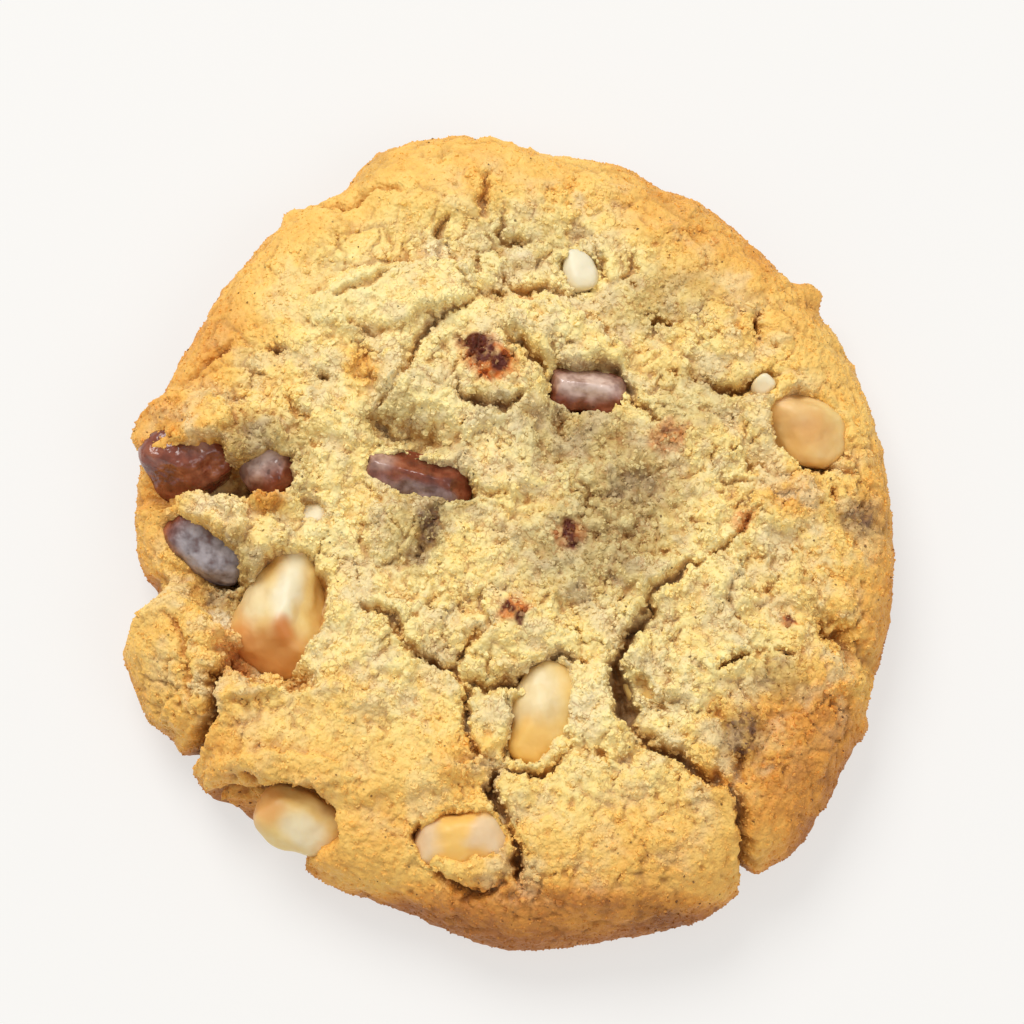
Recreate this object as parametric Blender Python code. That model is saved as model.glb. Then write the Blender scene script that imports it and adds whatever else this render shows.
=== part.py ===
"""A thick chocolate chip cookie with macadamia nuts, about 85 x 92 x 17 mm.

Metres, +Z up, origin at the middle of the flat base. The browned dough is one solid with its
cracks, lumps and rolled rim. Every piece of chocolate and every nut is a solid of its own that
sits in a pocket of the dough. Feature sizes are given in millimetres, seen from above, with +X
to the right and +Y away from the viewer.
"""

import math
from typing import NamedTuple

import bmesh
import bpy
import numpy as np
from mathutils import Matrix, noise

MM = 0.001

# Section of the cookie: heights in millimetres, widths as shares of the outline's radius
CROWN_HEIGHT = 15.2
CROWN_DROP = 2.3
WIDEST_HEIGHT = 5.2
SHOULDER_SHARE = 0.21
SHOULDER_POWER = 2.3
FOOT_SHARE = 0.07
UNDERSIDE_SHARE = 0.12

# Mesh of the dough: a fine sphere is pressed into shape, then thinned where it is plain
SPHERE_STEPS = 7
DOUGH_TRIANGLES = 5400
BASE_BAND = 0.25
DEEPEST_ON_CROWN = 6.5
DEEPEST_ON_RIM = 3.3
SOFT_WAVE = 0.5
SOFT_WAVE_LENGTH = 9.0
ROUGH_WAVE = 0.35
ROUGH_WAVE_LENGTH = 2.6
POCKET_GAP = 0.3

# Plan outline at its widest, anticlockwise from the right
OUTLINE = (
    (41.9, 2.0), (40.3, 11.8), (36.0, 22.8), (29.3, 31.2), (21.8, 37.8), (17.4, 39.7),
    (12.9, 42.3), (4.0, 44.0), (-5.5, 45.2), (-14.9, 42.9), (-18.2, 39.2), (-22.8, 38.1),
    (-30.3, 30.9), (-35.7, 22.4), (-39.9, 12.2), (-41.7, -0.6), (-40.0, -6.4), (-41.7, -10.6),
    (-38.2, -20.1), (-35.1, -25.8), (-30.3, -31.6), (-25.3, -34.3), (-21.3, -37.8),
    (-11.9, -41.7), (-3.0, -45.2), (6.0, -45.4), (22.3, -40.8), (25.1, -37.8), (29.8, -34.9),
    (35.7, -25.4), (40.5, -14.2), (42.0, -4.9),
)


class Lump(NamedTuple):
    """A raised or, with a negative height, sunken patch. A small edge makes its sides steep."""

    x: float
    y: float
    half_length: float
    half_width: float
    turn: float
    height: float
    edge: float = 1.0


class Crack(NamedTuple):
    """A crack along a path. It tapers to both ends unless it runs out at the rim."""

    path: tuple
    width: float
    depth: float
    runs_out: bool = False


class Knob(NamedTuple):
    """A crumb baked on to the rim, standing out of it."""

    x: float
    y: float
    z: float
    radius: float
    height: float


class Flat(NamedTuple):
    """A plane face on a chopped nut or broken chocolate.

    It faces this way in plan, tilted this far from straight up, at this reach from the centre.
    """

    facing: float
    tilt: float
    reach: float


class Inclusion(NamedTuple):
    """A nut or a piece of chocolate: its centre, half sizes, turn and form.

    A squareness of 1 is an ellipsoid and a smaller one is blockier. The taper narrows the end
    that the turn points to.
    """

    name: str
    kind: str
    x: float
    y: float
    top: float
    half_length: float
    half_width: float
    half_height: float
    turn: float
    squareness: float = 1.0
    taper: float = 0.0
    flats: tuple = ()
    steps: int = 3


LUMPS = {
    "big_lump": Lump(-5.5, 17.5, 9.5, 7.0, -10, 2.0, 0.6),
    "big_lump_foot": Lump(-1.0, 14.5, 3.5, 2.6, 0, 0.5, 0.5),
    "ridge_above_lump": Lump(-13.0, 25.5, 10.0, 3.6, 12, 1.7, 0.5),
    "ridge_right_of_lump": Lump(5.5, 20.5, 7.5, 3.0, -25, 1.5, 0.5),
    "left_pad": Lump(-19.0, 15.5, 6.0, 7.0, 30, 1.1, 0.5),
    "left_pad_low": Lump(-22.5, 9.5, 7.0, 4.5, -35, 0.9, 0.5),
    "pad_right_of_chip": Lump(-1.5, 7.5, 4.5, 5.5, 0, 1.1, 0.5),
    "pad_below_chip": Lump(-12.5, -1.0, 3.6, 3.4, 0, 1.0, 0.6),
    "middle_swell": Lump(7.0, 4.0, 14.0, 10.0, 20, 0.7, 1.0),
    "orange_pad": Lump(29.5, 2.5, 4.2, 3.8, 0, 1.3, 0.5),
    "pad_left_of_right_nut": Lump(22.5, 11.0, 5.5, 4.0, -20, 0.9, 0.5),
    "right_plate": Lump(19.5, -12.0, 7.0, 8.5, -20, 1.0, 0.35),
    "lower_right_plate": Lump(28.5, -25.0, 10.0, 11.0, 20, 0.6, 0.5),
    "lower_plate": Lump(12.5, -34.5, 14.5, 8.5, -8, 1.0, 0.35),
    "nut_shelf": Lump(8.5, -20.5, 4.5, 5.5, 60, 0.9, 0.4),
    "plate_left_of_middle": Lump(-16.5, -14.5, 6.5, 7.0, 0, 1.2, 0.3),
    "plate_above_nut": Lump(-1.0, -13.5, 8.0, 3.6, 12, 0.8, 0.35),
    "crumb_block": Lump(-2.5, -21.8, 2.5, 4.2, -10, 1.0, 0.3),
    "lower_left_plate": Lump(-20.0, -24.5, 13.5, 6.0, -12, 1.1, 0.35),
    "ledge_below_left_nut": Lump(-28.5, -18.3, 4.2, 2.0, 10, 1.2, 0.4),
    "rim_block_left": Lump(-36.5, -14.5, 5.5, 7.0, 0, 1.6, 0.35),
    "lip_over_rim_nut": Lump(-25.5, -28.0, 7.5, 2.2, -5, 1.2, 0.4),
    "top_bulge": Lump(-8.0, 40.2, 12.0, 5.0, -3, 1.0, 0.6),
    "cap_on_rim_chip": Lump(-35.8, 10.8, 4.8, 4.2, 35, 2.2, 0.35),
    "film_on_round_chip": Lump(-28.0, 8.8, 3.4, 2.8, 20, 1.6, 0.4),
    "flap_on_bloomed_chip": Lump(-32.6, 1.3, 4.4, 2.5, -38, 2.4, 0.35),
    "film_on_left_nut": Lump(-27.2, -2.6, 2.8, 3.4, 70, 1.6, 0.5),
    "orange_crumb": Lump(-27.0, 2.6, 1.8, 1.6, 0, 2.2, 0.6),
    "burnt_crust": Lump(-3.0, 18.2, 2.8, 1.9, -25, 0.7, 0.5),
    "valley_by_chips": Lump(-32.5, -7.0, 5.0, 3.2, -55, -3.4, 0.5),
    "hole_between_chips": Lump(-31.2, 4.9, 3.2, 1.7, 25, -6.5, 0.4),
    "hole_under_left_nut": Lump(-27.0, -16.2, 5.4, 1.7, -22, -4.2, 0.5),
    "hollow_round_rim_nut": Lump(-27.0, -31.5, 5.0, 2.6, -30, -3.0, 0.5),
    "hollow_by_grey_nub": Lump(-21.8, 0.6, 2.4, 1.6, 0, -1.8, 0.6),
    "valley_above_centre_chip": Lump(-12.0, 9.6, 4.0, 1.6, -20, -2.2, 0.6),
    "dip_by_upper_chip": Lump(6.0, 9.5, 1.5, 3.5, 0, -0.7, 0.8),
    "dip_in_middle": Lump(16.0, 5.0, 4.0, 2.5, 30, -0.8, 0.8),
    "right_crag_hollow": Lump(36.5, -13.5, 3.6, 2.0, -40, -1.8, 0.6),
    "left_rim_step": Lump(-40.5, -6.8, 2.6, 2.0, 0, -1.2, 0.6),
}

CRACKS = {
    "main_start": Crack(((27.0, 1.5), (25.6, -1.0), (22.5, -3.2), (19.8, -5.0)), 1.0, 1.2),
    "main_upper": Crack(((20.5, -4.6), (17.5, -6.5), (15.2, -8.2), (15.0, -10.0)), 1.5, 2.6),
    "main_bend": Crack(((15.3, -9.0), (14.0, -12.0), (11.8, -14.2), (11.0, -16.0)), 1.9, 3.6),
    "main_gap": Crack(((11.2, -14.5), (11.5, -17.5), (12.3, -20.5), (13.4, -23.2)), 3.0, 5.5),
    "main_lower": Crack(((12.6, -21.5), (14.2, -24.3), (18.0, -26.3), (21.0, -28.3),
                         (24.0, -29.5)), 2.0, 3.4),
    "main_run_out": Crack(((24.0, -29.0), (24.6, -32.0), (25.2, -35.0), (25.2, -38.0),
                           (25.0, -42.5)), 1.9, 4.0, True),
    "main_branch": Crack(((24.6, -29.3), (24.6, -27.0), (24.2, -24.8)), 1.4, 1.8),
    "middle_left": Crack(((-17.0, -9.3), (-14.5, -10.4), (-12.2, -12.4), (-11.0, -15.0)), 1.2, 2.4),
    "middle_run": Crack(((-12.0, -14.4), (-9.0, -15.6), (-6.3, -16.8), (-5.2, -18.4)), 1.5, 3.0),
    "middle_branch": Crack(((-6.4, -16.6), (-5.0, -14.9), (-4.0, -13.2), (-2.4, -11.6)), 1.3, 2.0),
    "above_centre_nut": Crack(((-5.4, -18.0), (-3.0, -18.8), (0.0, -18.0), (3.0, -16.0),
                               (5.6, -15.0), (8.2, -16.0)), 1.3, 3.0),
    "block_left": Crack(((-5.2, -18.0), (-4.9, -21.5), (-4.4, -24.8), (-2.2, -26.8)), 1.1, 2.6),
    "block_right": Crack(((-0.6, -18.4), (-0.3, -21.5), (0.2, -24.5), (-0.9, -26.8)), 1.1, 3.0),
    "below_centre_nut": Crack(((-1.8, -26.8), (0.6, -28.2), (3.2, -28.4), (5.4, -26.4)), 1.3, 2.8),
    "lower_left_of_plate": Crack(((-1.0, -27.6), (-2.6, -29.6), (-1.6, -32.0), (0.0, -34.4)),
                                 1.7, 4.0),
    "lower_run_out": Crack(((-0.4, -33.4), (0.5, -36.2), (0.4, -38.6), (1.8, -40.8)), 1.3, 3.4),
    "left_of_lower_nut": Crack(((-10.2, -33.4), (-10.0, -35.6), (-9.1, -38.2)), 1.5, 3.6),
    "below_lower_nut": Crack(((-8.4, -39.4), (-6.0, -40.9), (-3.2, -41.6), (-0.8, -40.4)), 1.4, 2.4),
    "under_lip": Crack(((-33.4, -28.6), (-30.6, -30.2), (-27.6, -29.9), (-24.4, -29.4),
                        (-21.8, -30.8)), 1.4, 3.2),
    "left_notch": Crack(((-31.0, -15.0), (-32.6, -17.6), (-32.4, -20.4), (-33.6, -23.0),
                         (-35.3, -25.0), (-38.5, -27.5)), 2.0, 4.6, True),
    "left_block_seam": Crack(((-37.5, -10.0), (-35.2, -13.2), (-35.0, -16.6), (-34.4, -19.4)),
                             0.9, 1.0),
    "top_bulge_crease": Crack(((-11.8, 37.2), (-14.0, 38.2), (-16.2, 38.0), (-18.2, 36.8),
                               (-22.0, 37.5)), 1.3, 2.2, True),
    "top_split": Crack(((-2.0, 40.0), (-3.0, 37.6), (-3.5, 36.0), (-2.8, 34.2)), 1.3, 1.7),
    "top_pit_left": Crack(((-7.2, 34.8), (-7.9, 33.6), (-8.0, 32.2)), 1.1, 2.0),
    "top_pit_mid": Crack(((-1.0, 34.2), (-1.2, 32.4), (0.4, 31.2), (2.2, 32.0)), 1.1, 2.0),
    "top_pit_low": Crack(((-4.6, 29.6), (-4.0, 28.6), (-3.4, 27.6)), 1.0, 1.9),
    "arc_below_top_nut": Crack(((-1.4, 27.8), (1.2, 26.4), (3.6, 26.2), (5.8, 25.5), (7.6, 26.6)),
                               1.4, 1.9),
    "right_of_top_nut": Crack(((9.0, 31.0), (9.6, 29.0), (10.4, 27.6)), 0.9, 1.6),
    "far_top_crack": Crack(((13.6, 30.0), (13.0, 28.6), (11.8, 27.2)), 0.9, 1.4),
    "lump_crease": Crack(((-14.0, 13.4), (-12.2, 15.8), (-10.6, 18.8), (-9.2, 21.4), (-7.0, 23.2),
                          (-3.8, 24.6)), 1.8, 2.8),
    "lump_tail": Crack(((-13.6, 14.2), (-15.2, 11.6), (-13.6, 10.0), (-10.6, 9.8)), 1.6, 2.2),
    "crease_to_upper_chip": Crack(((-0.6, 21.0), (1.6, 18.6), (3.6, 16.8), (4.4, 15.2)), 1.5, 2.2),
    "above_upper_chip": Crack(((4.6, 17.2), (8.0, 17.6), (11.2, 16.8), (13.2, 13.6),
                               (15.6, 11.2)), 1.6, 2.8),
    "below_big_lump": Crack(((-5.8, 15.2), (-5.0, 13.4), (-3.0, 12.6), (-0.6, 11.8), (1.2, 13.6)),
                            1.1, 1.9),
    "left_of_middle_dip": Crack(((4.6, 13.0), (5.2, 11.4), (5.6, 9.2)), 1.2, 1.5),
    "above_right_nut": Crack(((20.2, 16.2), (22.6, 14.9), (25.4, 14.8), (27.0, 16.2),
                              (29.8, 17.0)), 1.5, 2.6),
    "right_pit": Crack(((27.6, 24.0), (27.1, 22.6), (26.8, 21.2)), 1.3, 2.6),
    "middle_top_pit": Crack(((15.2, 22.2), (16.2, 22.4), (17.2, 22.6)), 1.1, 1.8),
    "below_right_nut": Crack(((30.6, 6.6), (33.4, 6.2), (35.6, 6.6), (38.0, 5.2)), 1.3, 2.6),
    "beside_right_nut": Crack(((34.8, 8.2), (36.2, 8.6), (37.2, 8.0)), 1.1, 1.8),
    "small_right_pit": Crack(((34.6, 4.0), (35.4, 3.2), (35.9, 2.4)), 0.9, 1.6),
    "right_split": Crack(((22.0, -17.0), (23.6, -16.0), (25.6, -14.8)), 1.0, 2.8),
    "right_pit_low": Crack(((28.6, -14.4), (29.5, -14.8), (30.4, -14.5)), 1.0, 2.0),
    "right_crag": Crack(((33.2, -11.0), (35.2, -12.6), (36.8, -12.4), (38.2, -15.0),
                         (37.2, -17.6)), 1.3, 2.2),
    "left_pits_upper": Crack(((-27.6, 19.6), (-26.0, 19.8), (-24.4, 19.6)), 1.0, 1.8),
    "left_pit_round": Crack(((-21.6, 15.8), (-20.8, 15.6), (-20.2, 16.2)), 1.4, 2.4),
    "left_crack_low": Crack(((-25.2, 13.6), (-23.2, 12.2), (-22.0, 11.0)), 1.0, 1.8),
    "pits_above_pad": Crack(((-18.0, 22.8), (-16.6, 21.6), (-15.2, 20.8)), 1.1, 1.6),
    "fold_upper_left": Crack(((-20.6, 24.8), (-17.6, 26.0), (-14.6, 27.4), (-12.2, 28.4)), 1.2, 1.1),
    "below_big_left_chip": Crack(((-36.6, 16.2), (-34.6, 17.4), (-32.4, 19.0), (-31.0, 21.0)),
                                 1.0, 1.1),
    "chip_tail": Crack(((-7.6, 1.8), (-9.2, -1.0), (-10.4, -4.0), (-12.4, -5.6)), 2.2, 1.6),
    "under_centre_chip": Crack(((-4.4, 5.6), (-4.2, 3.4), (-2.4, 2.4), (-0.4, 2.6)), 1.1, 1.5),
}

KNOBS = {
    "crumb_on_right_rim": Knob(32.3, 26.9, 7.0, 1.9, 1.7),
    "crumb_on_left_rim": Knob(-25.0, 36.9, 8.0, 1.4, 0.9),
    "crumb_on_lower_rim": Knob(38.0, -21.5, 6.0, 1.6, 0.8),
}

INCLUSIONS = (
    Inclusion("chip_rim", "chocolate", -35.7, 8.1, 13.2, 4.9, 4.1, 4.0, 32, 0.55, 0.08,
              (Flat(245, 62, 3.6), Flat(300, 40, 3.8))),
    Inclusion("chip_round", "chocolate", -26.7, 6.5, 13.6, 3.1, 3.1, 3.1, 20, 0.85),
    Inclusion("chip_bloomed", "chocolate", -33.5, -1.7, 12.7, 5.2, 3.2, 3.2, -36, 0.75),
    Inclusion("chip_centre", "chocolate", -10.2, 4.9, 15.8, 6.0, 2.7, 2.9, -15, 0.62, 0.16,
              (Flat(75, 38, 2.0), Flat(255, 38, 2.0), Flat(-10, 55, 4.2))),
    Inclusion("chip_upper", "chocolate", 8.0, 14.8, 15.9, 4.4, 2.5, 2.9, -8, 0.72),
    Inclusion("nut_left", "nut", -24.9, -8.9, 15.2, 7.6, 4.9, 4.8, 76, 0.88, 0.38,
              (Flat(0, 48, 3.6), Flat(150, 34, 3.8), Flat(250, 50, 5.6))),
    Inclusion("nut_right", "nut", 32.3, 11.2, 14.6, 5.0, 4.2, 4.0, -42, 0.76, 0.20,
              (Flat(-25, 24, 3.3), Flat(215, 52, 3.3), Flat(80, 56, 3.4))),
    Inclusion("nut_centre", "nut", 3.4, -21.1, 15.8, 6.1, 3.7, 3.6, 70, 0.80, -0.10,
              (Flat(165, 42, 2.9), Flat(-60, 30, 3.4), Flat(60, 20, 3.3))),
    Inclusion("nut_rim", "nut", -23.0, -32.4, 12.7, 4.9, 3.5, 3.5, -26, 0.80, 0.05,
              (Flat(-70, 34, 2.7), Flat(60, 45, 3.0))),
    Inclusion("nut_lower", "nut", -5.2, -35.2, 14.6, 5.4, 3.3, 3.2, 8, 0.82),
    Inclusion("nut_top", "nut", 7.3, 28.6, 15.3, 2.5, 2.0, 2.0, 108, 0.66, 0.15,
              (Flat(20, 14, 1.5), Flat(190, 55, 1.7)), 2),
    Inclusion("nut_bit_crack", "nut", 14.1, -18.5, 13.9, 2.5, 1.7, 2.2, -62, 0.80, 0.0,
              (Flat(200, 40, 1.5),), 2),
    Inclusion("nut_bit_left", "nut", -21.8, 1.3, 13.9, 1.7, 1.4, 1.6, 0, 0.75, 0.0,
              (Flat(120, 35, 1.1),), 2),
    Inclusion("nut_bit_right", "nut", 27.6, 15.5, 14.4, 1.5, 1.2, 1.5, 40, 0.72, 0.0,
              (Flat(240, 40, 1.0),), 2),
)

# Where the dough opens over an inclusion: a sunken patch that bares part of it
WINDOWS = {
    "chip_rim": Lump(-36.0, 5.7, 5.3, 2.8, 27, -5.0, 0.3),
    "chip_round": Lump(-26.5, 5.2, 2.9, 2.5, 30, -4.5, 0.35),
    "chip_bloomed": Lump(-34.0, -2.9, 5.0, 2.4, -36, -5.0, 0.35),
    "chip_centre": Lump(-9.6, 4.8, 5.6, 2.0, -15, -4.5, 0.3),
    "chip_upper": Lump(8.1, 14.8, 4.1, 2.2, -8, -4.5, 0.3),
    "nut_left": Lump(-24.8, -9.8, 6.5, 4.7, 80, -5.0, 0.22),
    "nut_right": Lump(32.6, 10.8, 4.7, 3.9, -42, -4.5, 0.25),
    "nut_centre": Lump(3.1, -21.2, 5.8, 3.0, 70, -4.5, 0.25),
    "nut_rim": Lump(-23.2, -32.9, 4.5, 3.2, -26, -4.5, 0.3),
    "nut_lower_a": Lump(-8.2, -35.2, 1.3, 2.3, 10, -2.6, 0.5),
    "nut_lower_b": Lump(-3.3, -34.8, 1.8, 2.4, -20, -2.6, 0.5),
    "nut_top": Lump(7.3, 28.6, 2.3, 1.8, 108, -2.6, 0.3),
    "nut_bit_crack": Lump(14.0, -18.6, 2.4, 1.7, -62, -3.0, 0.4),
    "nut_bit_left": Lump(-21.8, 1.2, 1.7, 1.4, 0, -2.2, 0.5),
    "nut_bit_right": Lump(27.6, 15.5, 1.5, 1.2, 40, -2.2, 0.5),
}


def smooth_step(share):
    share = np.clip(share, 0.0, 1.0)
    return share * share * (3.0 - 2.0 * share)


def outline_radius(angle):
    """The plan radius in millimetres towards each angle, on a smooth closed curve."""
    points = np.array(OUTLINE)
    angles = np.unwrap(np.arctan2(points[:, 1], points[:, 0]))
    radii = np.hypot(points[:, 0], points[:, 1])
    count = len(points)
    knots = np.concatenate([angles[-2:] - 2 * math.pi, angles, angles[:3] + 2 * math.pi])
    values = np.concatenate([radii[-2:], radii, radii[:3]])
    wrapped = (angle - angles[0]) % (2 * math.pi) + angles[0]
    span = np.clip(np.searchsorted(knots, wrapped, side="right") - 1, 2 - 1, count + 2)
    share = (wrapped - knots[span]) / (knots[span + 1] - knots[span])
    before, start = values[span - 1], values[span]
    end, after = values[span + 1], values[span + 2]
    slope_in, slope_out = (end - before) / 2, (after - start) / 2
    return (
        start
        + share * slope_in
        + share**2 * (3 * (end - start) - 2 * slope_in - slope_out)
        + share**3 * (2 * (start - end) + slope_in + slope_out)
    )


def lump_height(x, y, lump):
    turn = math.radians(lump.turn)
    along = (x - lump.x) * math.cos(turn) + (y - lump.y) * math.sin(turn)
    across = (y - lump.y) * math.cos(turn) - (x - lump.x) * math.sin(turn)
    distance = np.hypot(along / lump.half_length, across / lump.half_width)
    return lump.height * smooth_step((1.0 + 0.5 * lump.edge - distance) / lump.edge)


def crack_depth(x, y, crack):
    """The depth that a crack has at each plan point."""
    starts = np.array(crack.path[:-1])
    steps = np.array(crack.path[1:]) - starts
    lengths = np.hypot(steps[:, 0], steps[:, 1])
    run = np.concatenate([[0.0], np.cumsum(lengths)[:-1]])
    nearest = np.full(x.shape, 1e9)
    along = np.zeros(x.shape)
    for start, step, length, before in zip(starts, steps, lengths, run):
        share = ((x - start[0]) * step[0] + (y - start[1]) * step[1]) / length**2
        share = np.clip(share, 0.0, 1.0)
        distance = np.hypot(x - start[0] - share * step[0], y - start[1] - share * step[1])
        closer = distance < nearest
        nearest = np.where(closer, distance, nearest)
        along = np.where(closer, before + share * length, along)
    place = along / lengths.sum()
    taper = np.sin(math.pi * (place * 0.5 if crack.runs_out else place)) ** 0.6
    half = crack.width * (0.35 + 0.65 * taper)
    return crack.depth * (0.25 + 0.75 * taper) * smooth_step(1.0 - nearest / half) ** 0.8


def noise_at(x, y, z, length, seed):
    """Smooth noise at each point, with bumps about this long."""
    return np.array(
        [
            noise.noise((a / length + seed, b / length - seed, c / length))
            for a, b, c in zip(x, y, z)
        ]
    )


def relief(x, y):
    """The height in millimetres that lumps, windows and cracks add to the smooth crown."""
    raised = sum(lump_height(x, y, lump) for lump in LUMPS.values())
    opened = np.min([lump_height(x, y, lump) for lump in WINDOWS.values()], axis=0)
    cut = np.max([crack_depth(x, y, crack) for crack in CRACKS.values()], axis=0)
    return raised + np.minimum(opened, -cut)


def section_table(count=2400):
    """The cookie's section from the top's middle, round the rim, to the base's middle.

    Gives the share of the sphere's area used up to each row, the radius share, and the level:
    1 on the crown, 0 at the widest height, -1 on the base.
    """
    flat = 1.0 - SHOULDER_SHARE
    top = np.linspace(0.0, flat, count)
    swing = np.linspace(0.0, math.pi / 2, count)
    shoulder = flat + SHOULDER_SHARE * np.sin(swing) ** (2 / SHOULDER_POWER)
    shoulder_level = np.cos(swing) ** (2 / SHOULDER_POWER)
    foot = 1.0 - FOOT_SHARE * (1.0 - np.cos(swing))
    base = np.linspace(1.0 - FOOT_SHARE, 0.0, count)
    radius = np.concatenate([top, shoulder[1:], foot[1:], base[1:]])
    level = np.concatenate(
        [np.ones(count), shoulder_level[1:], -np.sin(swing)[1:], -np.ones(count - 1)]
    )
    height = np.where(level > 0, WIDEST_HEIGHT + (CROWN_HEIGHT - WIDEST_HEIGHT) * level, 0)
    height = np.where(level > 0, height, WIDEST_HEIGHT * (1 + level))
    mean_radius = np.mean(np.hypot(*np.array(OUTLINE).T))
    length = np.hypot(np.diff(radius) * mean_radius, np.diff(height))
    weight = np.where(np.minimum(level[1:], level[:-1]) < -0.9999, UNDERSIDE_SHARE, 1.0)
    area = np.concatenate([[0.0], np.cumsum(length * weight * (radius[1:] + radius[:-1]))])
    return area / area[-1], radius, level


def dough_points(directions):
    """Presses a unit sphere's points into the cookie, in millimetres."""
    angle = np.arctan2(directions[:, 1], directions[:, 0])
    used, radius_rows, level_rows = section_table()
    share = (1.0 - np.clip(directions[:, 2], -1, 1)) / 2
    radius_share = np.interp(share, used, radius_rows)
    level = np.interp(share, used, level_rows)
    reach = outline_radius(angle)
    x = radius_share * reach * np.cos(angle)
    y = radius_share * reach * np.sin(angle)
    crown = CROWN_HEIGHT - CROWN_DROP * radius_share**2
    upper = WIDEST_HEIGHT + (crown - WIDEST_HEIGHT) * np.clip(level, 0, 1)
    z = np.where(level > 0, upper, WIDEST_HEIGHT * (1 + level))
    raised = np.clip(level, 0.0, 1.0)
    upward = raised ** (SHOULDER_POWER - 1.0)
    sideways = (1.0 - raised**SHOULDER_POWER) ** ((SHOULDER_POWER - 1.0) / SHOULDER_POWER)
    length = np.hypot(upward, sideways)
    lean = sideways / length
    outward = np.stack([np.cos(angle) * lean, np.sin(angle) * lean, upward / length], axis=1)
    deepest = DEEPEST_ON_CROWN + (DEEPEST_ON_RIM - DEEPEST_ON_CROWN) * smooth_step(lean / 0.4)
    push = np.maximum(relief(x, y), -deepest) * np.where(level > 0, 1.0, 1.0 + level)
    soft = SOFT_WAVE * noise_at(x, y, z, SOFT_WAVE_LENGTH, 3.7)
    rough = ROUGH_WAVE * noise_at(x, y, z, ROUGH_WAVE_LENGTH, 11.3)
    push += (soft + rough) * smooth_step(1.0 + level)
    for knob in KNOBS.values():
        apart = np.sqrt((x - knob.x) ** 2 + (y - knob.y) ** 2 + (z - knob.z) ** 2)
        push += knob.height * smooth_step(1.35 - apart / knob.radius)
    moved = np.stack([x, y, z], axis=1) + outward * push[:, None]
    moved[:, 2] = np.where(level <= -0.999, 0.0, np.maximum(moved[:, 2], 0.0))
    return moved


def sphere_mesh(name, steps):
    mesh = bpy.data.meshes.new(name)
    ball = bmesh.new()
    bmesh.ops.create_icosphere(ball, subdivisions=steps, radius=1.0)
    ball.to_mesh(mesh)
    ball.free()
    return mesh


def vertex_array(mesh):
    places = np.empty(len(mesh.vertices) * 3, np.float32)
    mesh.vertices.foreach_get("co", places)
    return places.reshape(-1, 3).astype(float)


def write_vertices(mesh, points_mm):
    mesh.vertices.foreach_set("co", (points_mm * MM).astype(np.float32).ravel())
    mesh.update()


def baked_material(name, color, roughness):
    material = bpy.data.materials.new(name)
    material.use_nodes = True
    shader = material.node_tree.nodes["Principled BSDF"]
    shader.inputs["Base Color"].default_value = (*color, 1.0)
    shader.inputs["Roughness"].default_value = roughness
    shader.inputs["Metallic"].default_value = 0.0
    return material


def inclusion_points(directions, item, grow=0.0):
    """Points of a nut or chocolate piece in millimetres, larger all round by grow."""
    blocky = np.sign(directions) * np.abs(directions) ** item.squareness
    narrowing = 1.0 - item.taper * blocky[:, :1]
    half = np.array([item.half_length, item.half_width, item.half_height]) + grow
    shaped = blocky * half * np.concatenate([np.ones_like(narrowing), narrowing, narrowing], 1)
    turn = np.array(Matrix.Rotation(math.radians(item.turn), 3, "Z"))
    shaped = shaped @ turn.T
    for flat in item.flats:
        facing, tilt = math.radians(flat.facing), math.radians(flat.tilt)
        normal = np.array([math.sin(tilt) * math.cos(facing), math.sin(tilt) * math.sin(facing),
                           math.cos(tilt)])
        beyond = np.maximum(shaped @ normal - flat.reach - grow, 0.0)
        shaped = shaped - beyond[:, None] * normal
    return shaped + np.array([item.x, item.y, item.top - item.half_height])


def make_inclusion(item, name, material, collection, grow=0.0):
    mesh = sphere_mesh(name, item.steps)
    write_vertices(mesh, inclusion_points(vertex_array(mesh), item, grow))
    mesh.materials.append(material)
    mesh.shade_smooth()
    piece = bpy.data.objects.new(name, mesh)
    collection.objects.link(piece)
    return piece


def make_dough(material, collection):
    mesh = sphere_mesh("dough", SPHERE_STEPS)
    write_vertices(mesh, dough_points(vertex_array(mesh)))
    mesh.materials.append(material)
    mesh.shade_smooth()
    dough = bpy.data.objects.new("dough", mesh)
    collection.objects.link(dough)
    thin = dough.modifiers.new("thin where plain", "DECIMATE")
    thin.ratio = DOUGH_TRIANGLES / len(mesh.polygons)
    level_base(dough)
    return dough


def level_base(dough):
    """Keeps the thinned mesh and lays the points of its underside on one level."""
    shown = bpy.context.evaluated_depsgraph_get()
    mesh = bpy.data.meshes.new_from_object(dough.evaluated_get(shown), depsgraph=shown)
    dough.modifiers.clear()
    dough.data = mesh
    mesh.name = "dough"
    points = vertex_array(mesh) / MM
    points[:, 2] = np.where(points[:, 2] < BASE_BAND, 0.0, points[:, 2])
    write_vertices(mesh, points)


def cut_pockets(dough, materials, cutters):
    """Gives each inclusion its own pocket, a little wider than itself."""
    for item in INCLUSIONS:
        cutter = make_inclusion(
            item, item.name + "_pocket", materials[item.kind], cutters, POCKET_GAP
        )
        cutter.hide_render = True
        cutter.display_type = "WIRE"
    pocket = dough.modifiers.new("pockets", "BOOLEAN")
    pocket.operation = "DIFFERENCE"
    pocket.operand_type = "COLLECTION"
    pocket.collection = cutters
    pocket.solver = "EXACT"


def new_collection(name):
    collection = bpy.data.collections.new(name)
    bpy.context.scene.collection.children.link(collection)
    return collection


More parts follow.
